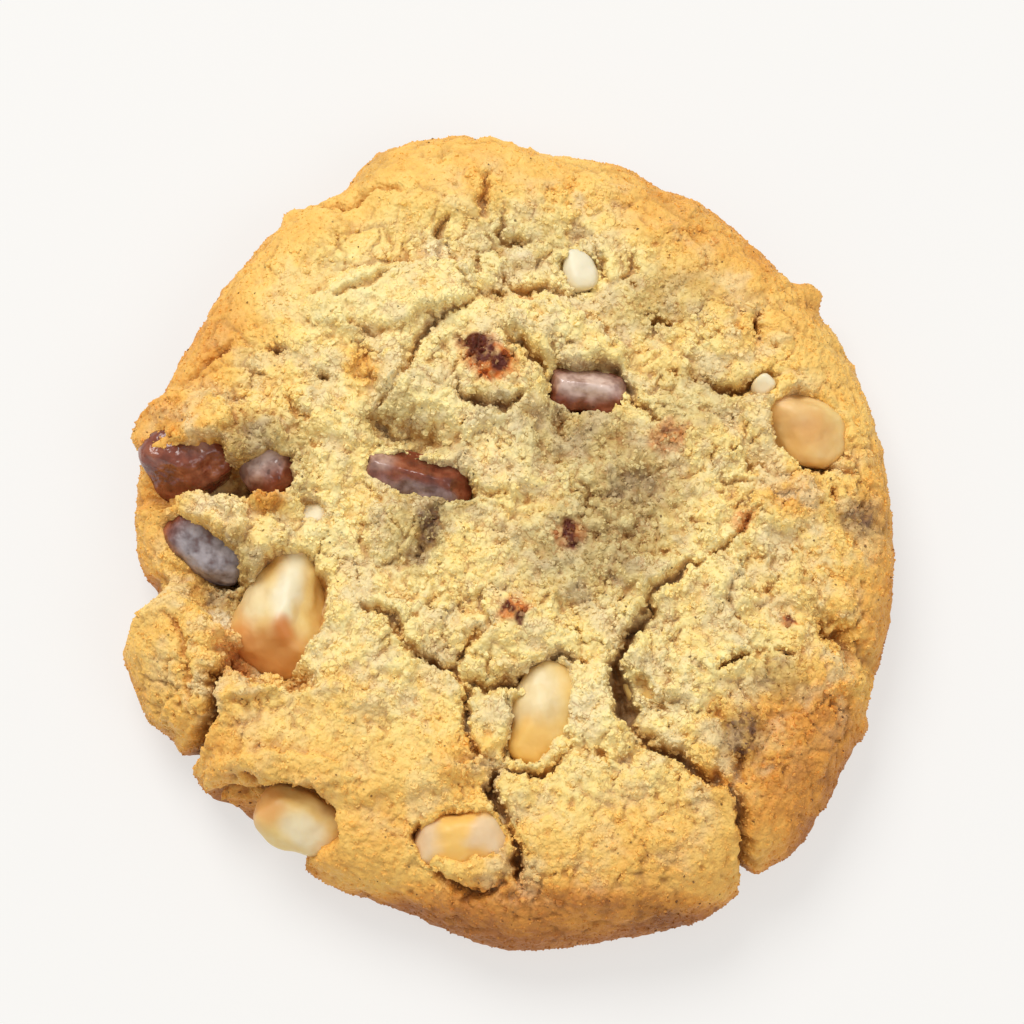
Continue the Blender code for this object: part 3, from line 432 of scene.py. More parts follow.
# Colour effects on the dough, and where it is crumbly or crusty in spite of its place
DOUGH_PATCHES = {
    "brown": (
        Area(-18.0, -28.0, 19.0, 11.0, -10, 0.18), Area(-36.5, -16.0, 6.0, 9.0, 0, 0.06),
        # Partly painted shade: the areas at (32, -27) and (4, -43.5), on the front away from the
        # key light, are browned by baking and darkened further as painted shade.
        Area(12.0, -37.5, 17.0, 7.0, -8, 0.16), Area(32.0, -27.0, 10.0, 11.0, 30, 0.40),
        Area(4.0, -43.5, 26.0, 4.0, 0, 0.48), Area(-30.0, 31.0, 13.0, 6.0, 48, 0.10),
        Area(-38.5, 8.0, 3.0, 14.0, -8, 0.22), Area(-33.5, 21.0, 4.5, 9.0, -28, 0.24),
        Area(-8.0, 41.0, 16.0, 5.0, -4, 0.10), Area(22.0, 33.0, 14.0, 6.0, -42, 0.22),
        Area(-30.5, 24.5, 5.0, 6.0, 45, 0.14), Area(-16.5, 17.0, 2.8, 1.8, -30, 0.40),
        Area(-5.0, -27.5, 4.0, 4.0, 0, 0.42), Area(30.2, 3.0, 3.4, 3.0, 0, 0.38),
        Area(-26.6, 2.5, 2.0, 1.6, 0, 0.62), Area(-36.0, 11.4, 4.0, 4.0, 0, 0.24),
        Area(40.0, -6.0, 3.0, 13.0, 4, 0.22),
    ),
    "fresh": (
        Area(0.0, 29.5, 15.0, 5.5, 0, 0.16), Area(-20.0, 25.0, 7.0, 6.0, 45, 0.10),
        Area(-10.0, 18.0, 8.0, 6.0, 0, 0.06), Area(-22.0, -20.0, 8.0, 6.0, 0, 0.05),
        Area(27.5, -16.5, 5.0, 4.0, 0, 0.18),
    ),
    "crumb": (
        Area(-32.5, 1.2, 5.5, 3.4, -38, 1.0), Area(-35.0, -5.5, 4.5, 6.0, 10, 0.8),
        Area(-31.0, -19.0, 5.0, 4.0, 0, 0.9), Area(-35.5, -15.0, 4.0, 7.0, 5, 0.55),
        Area(-35.5, 11.5, 4.5, 4.0, 20, 0.55), Area(34.0, 2.0, 6.0, 12.0, 0, 0.8),
        Area(33.0, -14.0, 6.0, 8.0, 10, 0.8), Area(0.0, -36.0, 9.0, 6.0, 0, 0.5),
    ),
    "crust": (
        Area(-19.0, -27.0, 13.0, 6.5, -12, 0.70), Area(-19.5, 28.0, 8.0, 6.0, 40, 0.65),
        Area(14.0, -36.0, 12.0, 6.5, -10, 0.60), Area(19.0, 31.5, 10.0, 5.0, -35, 0.55),
        Area(-10.0, 36.0, 10.0, 4.0, 0, 0.50), Area(32.0, -25.0, 7.0, 8.0, 20, 0.50),
    ),
    "grey": (
        Area(-12.0, -0.5, 4.0, 2.6, 70, 0.50), Area(-9.0, -1.0, 1.8, 4.6, -20, 1.00),
        Area(8.0, 8.5, 7.5, 4.0, -10, 0.70), Area(5.0, 11.0, 2.2, 3.0, 0, 0.65),
        Area(13.0, 3.0, 6.0, 4.0, 10, 0.88), Area(20.0, 13.5, 5.0, 4.0, 20, 0.40),
        Area(-6.0, 1.6, 3.0, 1.4, -15, 0.60), Area(9.0, -3.0, 8.0, 5.5, 10, 0.72),
        Area(-13.0, 10.8, 4.0, 2.4, -20, 0.40), Area(-8.5, 9.0, 3.6, 1.2, -25, 0.50),
        # Painted shadow: the area at (-1.6, 12.4) darkens the foot of the big lump, where its
        # shadow falls.
        Area(-1.6, 12.4, 3.0, 1.4, -10, 0.60), Area(-28.5, 8.8, 3.6, 2.8, 20, 0.90),
        Area(-31.5, -7.0, 4.4, 2.6, -50, 0.85), Area(-30.0, -4.0, 3.0, 2.2, -40, 0.60),
        Area(-24.0, 8.5, 2.0, 3.2, 20, 0.45), Area(24.7, -24.0, 3.2, 2.4, 60, 1.00),
        Area(28.9, -17.4, 3.0, 2.0, 10, 0.80), Area(38.0, 0.6, 2.8, 1.8, 0, 0.95),
        Area(17.0, 25.5, 6.5, 3.6, 20, 0.45), Area(1.0, 31.5, 6.0, 3.4, 0, 0.22),
        Area(16.0, -42.5, 4.0, 2.0, -14, 0.45),
    ),
    "rust": (
        Area(17.0, 9.4, 2.2, 1.6, 20, 0.70, 0.7), Area(6.2, -2.2, 1.6, 1.7, 0, 0.85, 0.7),
        Area(0.3, -10.5, 1.6, 1.5, 0, 0.85, 0.7), Area(-2.6, 17.4, 3.4, 2.3, -32, 1.00, 0.6),
        Area(30.0, -11.5, 0.8, 0.7, 0, 0.90, 0.6), Area(25.5, 0.2, 1.6, 0.9, 30, 0.60, 0.7),
        Area(1.5, 25.2, 0.9, 0.6, 0, 0.55, 0.7), Area(-30.4, -14.8, 2.0, 3.0, 30, 0.55, 0.8),
    ),
    "burn": (
        Area(-3.6, 18.6, 2.0, 1.5, -25, 1.00, 0.35), Area(-1.4, 16.9, 1.4, 0.9, -50, 1.00, 0.4),
        Area(17.2, 9.9, 0.9, 0.5, 0, 0.7, 0.5), Area(15.9, 8.9, 0.5, 0.4, 0, 0.6, 0.5),
        Area(6.1, -1.3, 0.6, 0.9, 20, 1.0, 0.5), Area(6.6, -3.0, 0.8, 0.6, 0, 1.0, 0.5),
        Area(-0.5, -10.1, 0.9, 0.6, -30, 1.0, 0.5), Area(0.9, -11.2, 0.6, 0.9, 0, 1.0, 0.5),
        Area(30.0, -11.5, 0.6, 0.4, 0, 0.9, 0.5),
    ),
    "pale": (
        Area(-8.5, 31.0, 1.5, 1.0, 0, 0.7), Area(24.5, 27.5, 1.8, 1.4, 0, 0.35),
        Area(0.5, 30.6, 1.1, 0.8, 0, 0.5), Area(-31.8, -10.4, 1.3, 1.0, 0, 1.0),
        Area(-2.0, 9.0, 4.0, 4.5, 0, 0.18), Area(-31.6, 1.2, 4.2, 2.0, -38, 0.45),
        Area(7.0, -19.0, 3.5, 3.5, 0, 0.25),
    ),
}


def linear(color):
    """A colour in 0 to 255 steps as the linear values that a shader takes."""
    shares = (channel / 255 for channel in color)
    return tuple(s / 12.92 if s <= 0.04045 else ((s + 0.055) / 1.055) ** 2.4 for s in shares)


def smooth_step(share):
    share = np.clip(share, 0.0, 1.0)
    return share * share * (3.0 - 2.0 * share)


def outline_radius(angle):
    """The plan radius in millimetres towards each angle, on a smooth closed curve."""
    points = np.array(OUTLINE)
    angles = np.unwrap(np.arctan2(points[:, 1], points[:, 0]))
    radii = np.hypot(points[:, 0], points[:, 1])
    count = len(points)
    knots = np.concatenate([angles[-2:] - 2 * math.pi, angles, angles[:3] + 2 * math.pi])
    values = np.concatenate([radii[-2:], radii, radii[:3]])
    wrapped = (angle - angles[0]) % (2 * math.pi) + angles[0]
    span = np.clip(np.searchsorted(knots, wrapped, side="right") - 1, 1, count + 2)
    share = (wrapped - knots[span]) / (knots[span + 1] - knots[span])
    before, start = values[span - 1], values[span]
    end, after = values[span + 1], values[span + 2]
    slope_in, slope_out = (end - before) / 2, (after - start) / 2
    return (
        start
        + share * slope_in
        + share**2 * (3 * (end - start) - 2 * slope_in - slope_out)
        + share**3 * (2 * (start - end) + slope_in + slope_out)
    )


def patch_share(x, y, area):
    """How far each plan point is inside an elliptic area: 1 in its middle and 0 outside."""
    turn = math.radians(area.turn)
    along = (x - area.x) * math.cos(turn) + (y - area.y) * math.sin(turn)
    across = (y - area.y) * math.cos(turn) - (x - area.x) * math.sin(turn)
    distance = np.hypot(along / area.half_length, across / area.half_width)
    return smooth_step((1.0 + 0.5 * area.edge - distance) / area.edge)


def crack_depth(x, y, crack):
    """The depth that a crack has at each plan point."""
    starts = np.array(crack.path[:-1])
    steps = np.array(crack.path[1:]) - starts
    lengths = np.hypot(steps[:, 0], steps[:, 1])
    run = np.concatenate([[0.0], np.cumsum(lengths)[:-1]])
    nearest = np.full(x.shape, 1e9)
    along = np.zeros(x.shape)
    for start, step, length, before in zip(starts, steps, lengths, run):
        share = ((x - start[0]) * step[0] + (y - start[1]) * step[1]) / length**2
        share = np.clip(share, 0.0, 1.0)
        distance = np.hypot(x - start[0] - share * step[0], y - start[1] - share * step[1])
        closer = distance < nearest
        nearest = np.where(closer, distance, nearest)
        along = np.where(closer, before + share * length, along)
    place = along / lengths.sum()
    taper = np.sin(math.pi * (place * 0.5 if crack.runs_out else place)) ** 0.6
    half = crack.width * CRACK_SHARPNESS * (0.35 + 0.65 * taper)
    depth = crack.depth * CRACK_DEEPENING * (0.25 + 0.75 * taper)
    return depth * smooth_step(1.0 - nearest / half) ** 0.7


def noise_at(points, length, seed):
    """Smooth noise from -1 to 1 at each point, with bumps about this long."""
    scaled = points / length + (seed, -seed, 0.0)
    return np.array([noise.noise(place) for place in scaled.tolist()])


def wave(points, name):
    return noise_at(points, *WAVES[name])


def cells_at(points, size, seed):
    """Domes of crumb: 1 in a cell's middle, 0 at its edge."""
    scaled = points / size + (seed, seed, -seed)
    near = np.array([noise.voronoi(place)[0][0] for place in scaled.tolist()])
    return 1.0 - np.clip(near / 0.72, 0, 1) ** 2


def clumps_at(points, size, seed):
    """Clumps of crumb: how near each point is to a crack between two, and each clump's rise."""
    scaled = points / size + (seed, seed, -seed)
    edges = []
    rises = []
    for place in scaled.tolist():
        distances, centres = noise.voronoi(place)
        edges.append(distances[1] - distances[0])
        rises.append(noise.cell(centres[0] * 7.3))
    return np.array(edges), np.array(rises) - 0.5


def billows(points, sizes, seed):
    """Rounded bumps with sharp creases between them, summed over several sizes."""
    return sum(height * (np.abs(noise_at(points, length, seed + length)) - 0.22)
               for length, height in sizes)


def section_rows():
    """The section from the top's middle, round the rim, to the base's middle.

    Gives each ring's share of the outline's radius, its level (1 on the crown, 0 at the widest
    height, -1 on the base) and the spacing of its points.
    """
    count = 2400
    flat = 1.0 - SHOULDER_SHARE
    swing = np.linspace(0.0, math.pi / 2, count)
    radius = np.concatenate([
        np.linspace(0.0, flat, count),
        flat + SHOULDER_SHARE * np.sin(swing[1:]) ** (2 / SHOULDER_POWER),
        1.0 - FOOT_SHARE * (1.0 - np.cos(swing[1:])),
        np.linspace(1.0 - FOOT_SHARE, 0.0, count)[1:],
    ])
    level = np.concatenate([
        np.ones(count),
        np.cos(swing[1:]) ** (2 / SHOULDER_POWER),
        -np.sin(swing[1:]),
        -np.ones(count - 1),
    ])
    height = np.where(level > 0, WIDEST_HEIGHT + (CROWN_HEIGHT - WIDEST_HEIGHT) * level,
                      WIDEST_HEIGHT * (1 + level))
    mean_radius = np.mean(np.hypot(*np.array(OUTLINE).T))
    length = np.hypot(np.diff(radius) * mean_radius, np.diff(height))
    spacing = np.interp(level, [-1.0, -0.99, 0.2, 0.75], [BASE_SPACING, SIDE_SPACING,
                                                         SIDE_SPACING, TOP_SPACING])
    steps = np.concatenate([[0.0], np.cumsum(length / (spacing[1:] * RING_PITCH))])
    rings = np.arange(1, int(steps[-1]))
    spacing = np.interp(rings, steps, spacing)
    radius = np.interp(rings, steps, radius)
    level = np.interp(rings, steps, level)
    counts = np.maximum(6, np.round(2 * math.pi * mean_radius * radius / spacing)).astype(int)
    return radius, level, counts


def ring_triangles(inner, inner_count, outer, outer_count, reverse):
    """Joins a ring to one that has as many points or more, leaving no hole."""
    step = np.arange(outer_count)
    apex = np.floor((step + 0.5) * inner_count / outer_count + 0.5).astype(int) % inner_count
    following = (step + 1) % outer_count
    fans = np.stack([outer + step, outer + following, inner + apex], axis=1)
    turned = np.nonzero(apex != np.roll(apex, 1))[0]
    links = np.stack([inner + apex[turned], inner + np.roll(apex, 1)[turned], outer + turned], 1)
    joined = np.concatenate([fans, links])
    return joined[:, ::-1] if reverse else joined


def skin_triangles(counts):
    """Triangles of the closed skin: a point, rings of these counts, and a last point."""
    starts = 1 + np.concatenate([[0], np.cumsum(counts)])
    parts = []
    first = np.arange(counts[0])
    parts.append(np.stack([np.zeros_like(first), 1 + first, 1 + (first + 1) % counts[0]], 1))
    for ring in range(len(counts) - 1):
        here, there = counts[ring], counts[ring + 1]
        if there >= here:
            parts.append(ring_triangles(starts[ring], here, starts[ring + 1], there, False))
        else:
            parts.append(ring_triangles(starts[ring + 1], there, starts[ring], here, True))
    last = np.arange(counts[-1])
    end = starts[-1]
    start = starts[-2]
    parts.append(np.stack([np.full_like(last, end), start + (last + 1) % counts[-1],
                           start + last], 1))
    return np.concatenate(parts)


def spread_out(values, triangles, rounds):
    """Averages a value with its neighbours over the skin, this many times."""
    pairs = np.concatenate([triangles[:, [0, 1]], triangles[:, [1, 2]], triangles[:, [2, 0]]])
    count = len(values)
    number = np.bincount(pairs[:, 0], minlength=count)
    for _ in range(rounds):
        total = np.bincount(pairs[:, 0], weights=values[pairs[:, 1]], minlength=count)
        values = 0.5 * values + 0.5 * total / number
    return values


def effect_share(effect, x, y):
    """The strongest that an effect is at each plan point."""
    return np.max([area.amount * patch_share(x, y, area) for area in DOUGH_PATCHES[effect]],
                  axis=0)


def crust_share(sheet):
    """Where the surface is a smooth baked crust, near the rim, and not open crumb."""
    x, y, _ = sheet.places.T
    on_plan = np.stack([x, y, np.zeros_like(x)], axis=1)
    wander = 0.10 * wave(on_plan, "crust edge") + 0.05 * wave(on_plan, "crust edge, fine")
    on_top = smooth_step((sheet.radius_share + wander - 0.74) / 0.22)
    on_top = np.maximum(on_top * (1.0 - effect_share("crumb", x, y)), effect_share("crust", x, y))
    return np.maximum(on_top, 1.0 - smooth_step((sheet.level - 0.25) / 0.5))


class Sheet(NamedTuple):
    """The smooth cookie: its points, its triangles and where on it each point is."""

    places: np.ndarray
    triangles: np.ndarray
    radius_share: np.ndarray
    level: np.ndarray
    lean: np.ndarray
    outward: np.ndarray


def smooth_sheet():
    radius_rows, level_rows, counts = section_rows()
    radius_share = np.concatenate([[0.0], np.repeat(radius_rows, counts), [0.0]])
    level = np.concatenate([[1.0], np.repeat(level_rows, counts), [-1.0]])
    turns = [2 * math.pi * np.arange(count) / count for count in counts]
    angle = np.concatenate([[0.0], *turns, [0.0]])
    reach = outline_radius(angle)
    x = radius_share * reach * np.cos(angle)
    y = radius_share * reach * np.sin(angle)
    crown = CROWN_HEIGHT - CROWN_DROP * radius_share**2
    upper = WIDEST_HEIGHT + (crown - WIDEST_HEIGHT) * np.clip(level, 0, 1)
    z = np.where(level > 0, upper, WIDEST_HEIGHT * (1 + level))
    raised = np.clip(level, 0.0, 1.0)
    upward = raised ** (SHOULDER_POWER - 1.0)
    sideways = (1.0 - raised**SHOULDER_POWER) ** ((SHOULDER_POWER - 1.0) / SHOULDER_POWER)
    length = np.hypot(upward, sideways)
    lean = sideways / length
    outward = np.stack([np.cos(angle) * lean, np.sin(angle) * lean, upward / length], axis=1)
    places = np.stack([x, y, z], axis=1)
    return Sheet(places, skin_triangles(counts), radius_share, level, lean, outward)


def ragged_places(sheet):
    """Places moved a little in plan, so that lumps and cracks get ragged edges."""
    share = np.clip(sheet.level + 0.2, 0, 1)
    moved = sheet.places.copy()
    for axis, name in ((0, "ragged x"), (1, "ragged y")):
        moved[:, axis] += RAGGED_EDGE * share * wave(sheet.places, name)
        moved[:, axis] += RAGGED_FINE * share * wave(sheet.places, name + ", fine")
    return moved


def crumb_relief(sheet, bent, crust):
    """Fine relief of crumb and crust, with the masks of its clump cracks and hair cracks."""
    places = sheet.places
    crumb = 1.0 - crust
    cells = cells_at(bent, CELL, 3.3)
    fold = [wave(places, "fold x"), wave(places, "fold y"), np.zeros(len(places))]
    edge, rise = clumps_at(bent + FOLD * np.stack(fold, axis=1), CLUMP, 6.1)
    split = smooth_step(wave(places, "clumps") * 2.4 + 0.35)
    clump_crack = smooth_step(1.0 - edge / CLUMP_CRACK_WIDTH / 2.0) * split
    meander = wave(places, "hair crack") + 0.25 * wave(places, "hair crack, fine")
    present = smooth_step(wave(places, "hair crack, where") * 2.0 + 0.5)
    hair = np.exp(-((meander / HAIR_CRACK_WIDTH) ** 2)) * present
    relief = crumb * (billows(bent, CRUMB_BILLOWS, 13.0) + CELL_HEIGHT * (cells - 0.6))
    relief += crust * billows(bent, CRUST_BILLOWS, 29.0)
    relief += crumb * split * CLUMP_STEP * rise
    relief -= CLUMP_CRACK_DEPTH * clump_crack * (0.25 + 0.75 * crumb)
    relief -= HAIR_CRACK_DEPTH * hair * (0.35 + 0.65 * crumb)
    pits = smooth_step((wave(places, "pits") - 0.42) / 0.2)
    relief -= PIT_DEPTH * pits * (0.5 + 0.5 * crumb)
    return relief, clump_crack, hair


def dough_masks(sheet, push, crust, opened, gap):
    """Where the dough is browned, crumbly, stained or open, and where shade is painted into its
    hollows and cracks, from 0 to 1.
    """
    places, level = sheet.places, sheet.level
    x, y, _ = places.T
    near_mean = spread_out(push, sheet.triangles, SMOOTHING_NEAR)
    wide_mean = spread_out(push, sheet.triangles, SMOOTHING_WIDE)
    # Painted shade: darker where the skin lies below its near and wide neighbours
    hollow_shade = np.clip((near_mean - push) / 0.35, 0, 1) * 0.55
    hollow_shade += np.clip((wide_mean - push) / 1.3, 0, 1) * 0.75
    brown = 0.08 + 0.36 * smooth_step((sheet.radius_share - 0.55) / 0.45)
    brown += 0.10 * wave(places, "browning") + 0.07 * wave(places, "browning, fine")
    # The rise towards the sides and base is baked browning, and partly painted shade on the sides.
    brown += 0.38 * (1.0 - smooth_step((level + 0.5) / 1.2)) + effect_share("brown", x, y)
    brown -= 0.20 * np.clip((wide_mean - push) / 1.5, 0, 1) * crust + effect_share("fresh", x, y)
    ragged_x = x + 0.8 * wave(places, "stain x") + 0.5 * wave(places, "stain x, fine")
    ragged_y = y + 0.8 * wave(places, "stain y") + 0.5 * wave(places, "stain y, fine")
    masks = {
        "brown": brown,
        "hollow_shade": hollow_shade,
        "gap": gap,
        "crumb": (1.0 - crust) * smooth_step((level - 0.4) / 0.4),
        "crust": crust * smooth_step((level + 0.6) / 0.4),
        "bare": smooth_step((-opened - 1.6) / 1.4),
    }
    for effect in ("grey", "rust", "burn", "pale"):
        masks[effect] = effect_share(effect, ragged_x, ragged_y)
    return {name: np.clip(mask, 0, 1) for name, mask in masks.items()}


def shape_skin():
    """The dough's points in millimetres, its triangles and its colour masks."""
    sheet = smooth_sheet()
    places, level = sheet.places, sheet.level
    bent = ragged_places(sheet)
    plan = bent[:, 0], bent[:, 1]
    lumps = sum(item.amount * patch_share(*plan, item) for item in LUMPS.values())
    opened = np.min([item.amount * patch_share(*plan, item) for item in WINDOWS.values()], axis=0)
    cut = np.max([crack_depth(*plan, item) for item in CRACKS.values()], axis=0)
    crust = crust_share(sheet)
    relief, clump_crack, hair = crumb_relief(sheet, bent, crust)

    broad = lumps + np.minimum(opened, -cut)
    deepest = DEEPEST_ON_CROWN + (DEEPEST_ON_RIM - DEEPEST_ON_CROWN) * smooth_step(
        sheet.lean / 0.4)
    push = np.maximum(broad, -deepest) * np.where(level > 0, 1.0, 1.0 + level)
    push += (SOFT_WAVE * wave(places, "soft") + relief) * smooth_step(1.0 + level)
    x, y, z = places.T
    for knob in KNOBS.values():
        apart = np.sqrt((x - knob.x) ** 2 + (y - knob.y) ** 2 + (z - knob.z) ** 2)
        push += knob.height * smooth_step(1.35 - apart / knob.radius)
    moved = places + sheet.outward * push[:, None]
    moved[:, 2] = np.where(level <= -0.999, 0.0, np.maximum(moved[:, 2], 0.0))
    # Painted shade in deep cracks and, more faintly, in clump and hair cracks; crumbs are also
    # kept out of it
    gap = np.maximum(smooth_step((cut - 1.1) / 2.0), 0.32 * np.maximum(clump_crack, 0.7 * hair))
    return moved, sheet.triangles, dough_masks(sheet, push, crust, opened, gap)


def mesh_object(name, points_mm, faces):
    mesh = bpy.data.meshes.new(name)
    mesh.vertices.add(len(points_mm))
    mesh.vertices.foreach_set("co", (points_mm * MM).astype(np.float32).ravel())
    mesh.loops.add(faces.size)
    mesh.loops.foreach_set("vertex_index", faces.astype(np.int32).ravel())
    mesh.polygons.add(len(faces))
    mesh.polygons.foreach_set("loop_start", np.arange(0, faces.size, 3, dtype=np.int32))
    mesh.update(calc_edges=True)
    mesh.shade_smooth()
    made = bpy.data.objects.new(name, mesh)
    bpy.context.scene.collection.objects.link(made)
    return made


def write_masks(mesh, masks):
    for name, values in masks.items():
        layer = mesh.attributes.new(name, "FLOAT", "POINT")
        layer.data.foreach_set("value", np.asarray(values, np.float32))


# Node tools


def new_group(name, inputs, outputs, kind="ShaderNodeTree"):
    """A node group, with the sockets that it is given and the sockets that it puts out."""
    group = bpy.data.node_groups.new(name, kind)
    for label, socket_type, default in inputs:
        socket = group.interface.new_socket(label, in_out="INPUT", socket_type=socket_type)
        if default is not None:
            socket.default_value = default
    for label, socket_type in outputs:
        group.interface.new_socket(label, in_out="OUTPUT", socket_type=socket_type)
    given = group.nodes.new("NodeGroupInput").outputs
    return group, given, group.nodes.new("NodeGroupOutput").inputs


def set_inputs(tree, node, values):
    """Values maps a node's inputs to numbers, colours or the sockets that feed them."""
    for key, value in values.items():
        socket = node.inputs[key]
        if isinstance(value, bpy.types.NodeSocket):
            tree.links.new(value, socket)
        elif socket.type == "RGBA" and len(value) == 3:
            socket.default_value = (*value, 1.0)
        else:
            socket.default_value = value


def add_node(tree, kind, values=None, **settings):
    node = tree.nodes.new(kind)
    for name, setting in settings.items():
        setattr(node, name, setting)
    set_inputs(tree, node, values or {})
    return node


def math_node(tree, operation, first, second=0.0, clamp=False):
    node = add_node(tree, "ShaderNodeMath", {0: first, 1: second}, operation=operation)
    node.use_clamp = clamp
    return node.outputs[0]


def mix_color(tree, share, first, second, blend="MIX"):
    """Mixes colours given by a socket or by a name in COLORS."""
    first, second = (linear(COLORS[color]) if isinstance(color, str) else color
                     for color in (first, second))
    node = add_node(tree, "ShaderNodeMix", data_type="RGBA", blend_type=blend)
    set_inputs(tree, node, {0: share, 6: first, 7: second})
    return node.outputs[2]


def times(tree, first, second):
    return math_node(tree, "MULTIPLY", first, second)


def noise_texture(tree, place, scale, detail):
    return add_node(tree, "ShaderNodeTexNoise",
                    {"Vector": place, "Scale": scale, "Detail": detail}).outputs


def color_ramp(tree, value, stops):
    ramp = add_node(tree, "ShaderNodeValToRGB", {0: value})
    elements = ramp.color_ramp.elements
    while len(elements) < len(stops):
        elements.new(0.5)
    for element, (place, color) in zip(elements, stops):
        element.position = place
        element.color = (*linear(color), 1.0)
    return ramp.outputs[0]


def remap(tree, value, low, high, to_low=0.0, to_high=1.0):
    node = add_node(tree, "ShaderNodeMapRange", {0: value, 1: low, 2: high, 3: to_low, 4: to_high})
    node.interpolation_type = "SMOOTHSTEP"
    return node.outputs[0]


def object_place(tree):
    return add_node(tree, "ShaderNodeTexCoord").outputs["Object"]


def mask_value(tree, name):
    return add_node(tree, "ShaderNodeAttribute", attribute_name=name).outputs["Fac"]


def make_speck_group():
    """Small dark dots: a share of the cells of a pattern has one."""
    group, given, result = new_group(
        "dark specks",
        (("Cells per metre", "NodeSocketFloat", 700.0), ("Share", "NodeSocketFloat", 0.12),
         ("Radius", "NodeSocketFloat", 0.16)),
        (("Mask", "NodeSocketFloat"),),
    )
    cells = add_node(group, "ShaderNodeTexVoronoi",
                     {"Vector": object_place(group), "Scale": given["Cells per metre"]})
    draw = add_node(group, "ShaderNodeSeparateColor", {0: cells.outputs["Color"]}).outputs[0]
    picked = math_node(group, "LESS_THAN", draw, given["Share"])
    close = math_node(group, "SUBTRACT", 1.0,
                      math_node(group, "DIVIDE", cells.outputs["Distance"], given["Radius"]),
                      clamp=True)
    sharp = math_node(group, "POWER", close, 0.5)
    group.links.new(times(group, picked, sharp), result[0])
    return group


def make_mottle_group():
    """Uneven tone at two sizes, around 0.5."""
    group, given, result = new_group(
        "uneven tone",
        (("Coarse per metre", "NodeSocketFloat", 260.0),
         ("Fine per metre", "NodeSocketFloat", 1100.0), ("Fine share", "NodeSocketFloat", 0.5)),
        (("Value", "NodeSocketFloat"),),
    )
    place = object_place(group)
    coarse = noise_texture(group, place, given["Coarse per metre"], 2.0)[0]
    fine = noise_texture(group, place, given["Fine per metre"], 2.0)[0]
    tone = add_node(group, "ShaderNodeMix", {0: given["Fine share"], 2: coarse, 3: fine})
    group.links.new(tone.outputs[0], result[0])
    return group


def make_bake_group():
    """The colour of baked dough, from pale crumb to brown crust, with painted shade in hollows."""
    group, given, result = new_group(
        "baked dough colour",
        (("Browning", "NodeSocketFloat", 0.2), ("Hollow shade", "NodeSocketFloat", 0.0),
         ("Tone", "NodeSocketFloat", 0.5)),
        (("Color", "NodeSocketColor"),),
    )
    change = times(group, math_node(group, "SUBTRACT", given["Tone"], 0.5), 0.55)
    browning = math_node(group, "ADD", given["Browning"], change, clamp=True)
    baked = color_ramp(group, browning, BAKED_RAMP)
    shaded_color = color_ramp(group, browning, HOLLOW_SHADE_RAMP)
    # Painted shade: the hollow mask mixes in the darker ramp
    group.links.new(mix_color(group, given["Hollow shade"], baked, shaded_color), result[0])
    return group


def make_stain_group():
    """Pale patches, grey stains round chocolate and a painted shadow, rusty spots and burnt crust
    over a colour.
    """
    group, given, result = new_group(
        "stains",
        (("Color", "NodeSocketColor", None), ("Tone", "NodeSocketFloat", 0.5)),
        (("Color", "NodeSocketColor"),),
    )
    tone = given["Tone"]
    clouds = noise_texture(group, object_place(group), 300.0, 2.0)[0]
    faded = times(group, mask_value(group, "crumb"), remap(group, clouds, 0.44, 0.66, 0.0, 0.68))
    color = mix_color(group, faded, given["Color"], "faded crumb")
    color = mix_color(group, times(group, mask_value(group, "pale"), 0.8), color, "pale dough")
    stained = times(group, mask_value(group, "grey"), remap(group, tone, 0.36, 0.62, 0.45, 1.0))
    color = mix_color(group, stained, color, "grey stain", "MULTIPLY")
    smudged = times(group, remap(group, mask_value(group, "grey"), 0.84, 1.0),
                    remap(group, tone, 0.40, 0.6, 0.15, 0.6))
    color = mix_color(group, smudged, color, "chocolate smudge")
    rusty = times(group, mask_value(group, "rust"), remap(group, tone, 0.32, 0.6, 0.35, 1.0))
    color = mix_color(group, rusty, color, "rusty spot", "MULTIPLY")
    burnt = times(group, mask_value(group, "burn"), remap(group, tone, 0.34, 0.5, 0.5, 1.0))
    color = mix_color(group, burnt, color, "burnt crust")
    group.links.new(color, result[0])
    return group


def make_grain_group():
    """A bumped normal for grain finer than the mesh: small domes roughened by noise."""
    group, given, result = new_group(
        "fine grain",
        (("Per metre", "NodeSocketFloat", 1500.0), ("Height", "NodeSocketFloat", 0.00036),
         ("Strength", "NodeSocketFloat", 0.8)),
        (("Normal", "NodeSocketVector"),),
    )
    place = object_place(group)
    domes = add_node(group, "ShaderNodeTexVoronoi", {"Vector": place, "Scale": given["Per metre"]})
    grain = noise_texture(group, place, times(group, given["Per metre"], 1.3), 1.0)[0]
    height = math_node(group, "SUBTRACT", grain, times(group, domes.outputs["Distance"], 0.5))
    bump = add_node(group, "ShaderNodeBump", {"Strength": given["Strength"],
                                              "Distance": given["Height"], "Height": height})
    group.links.new(bump.outputs[0], result[0])
    return group


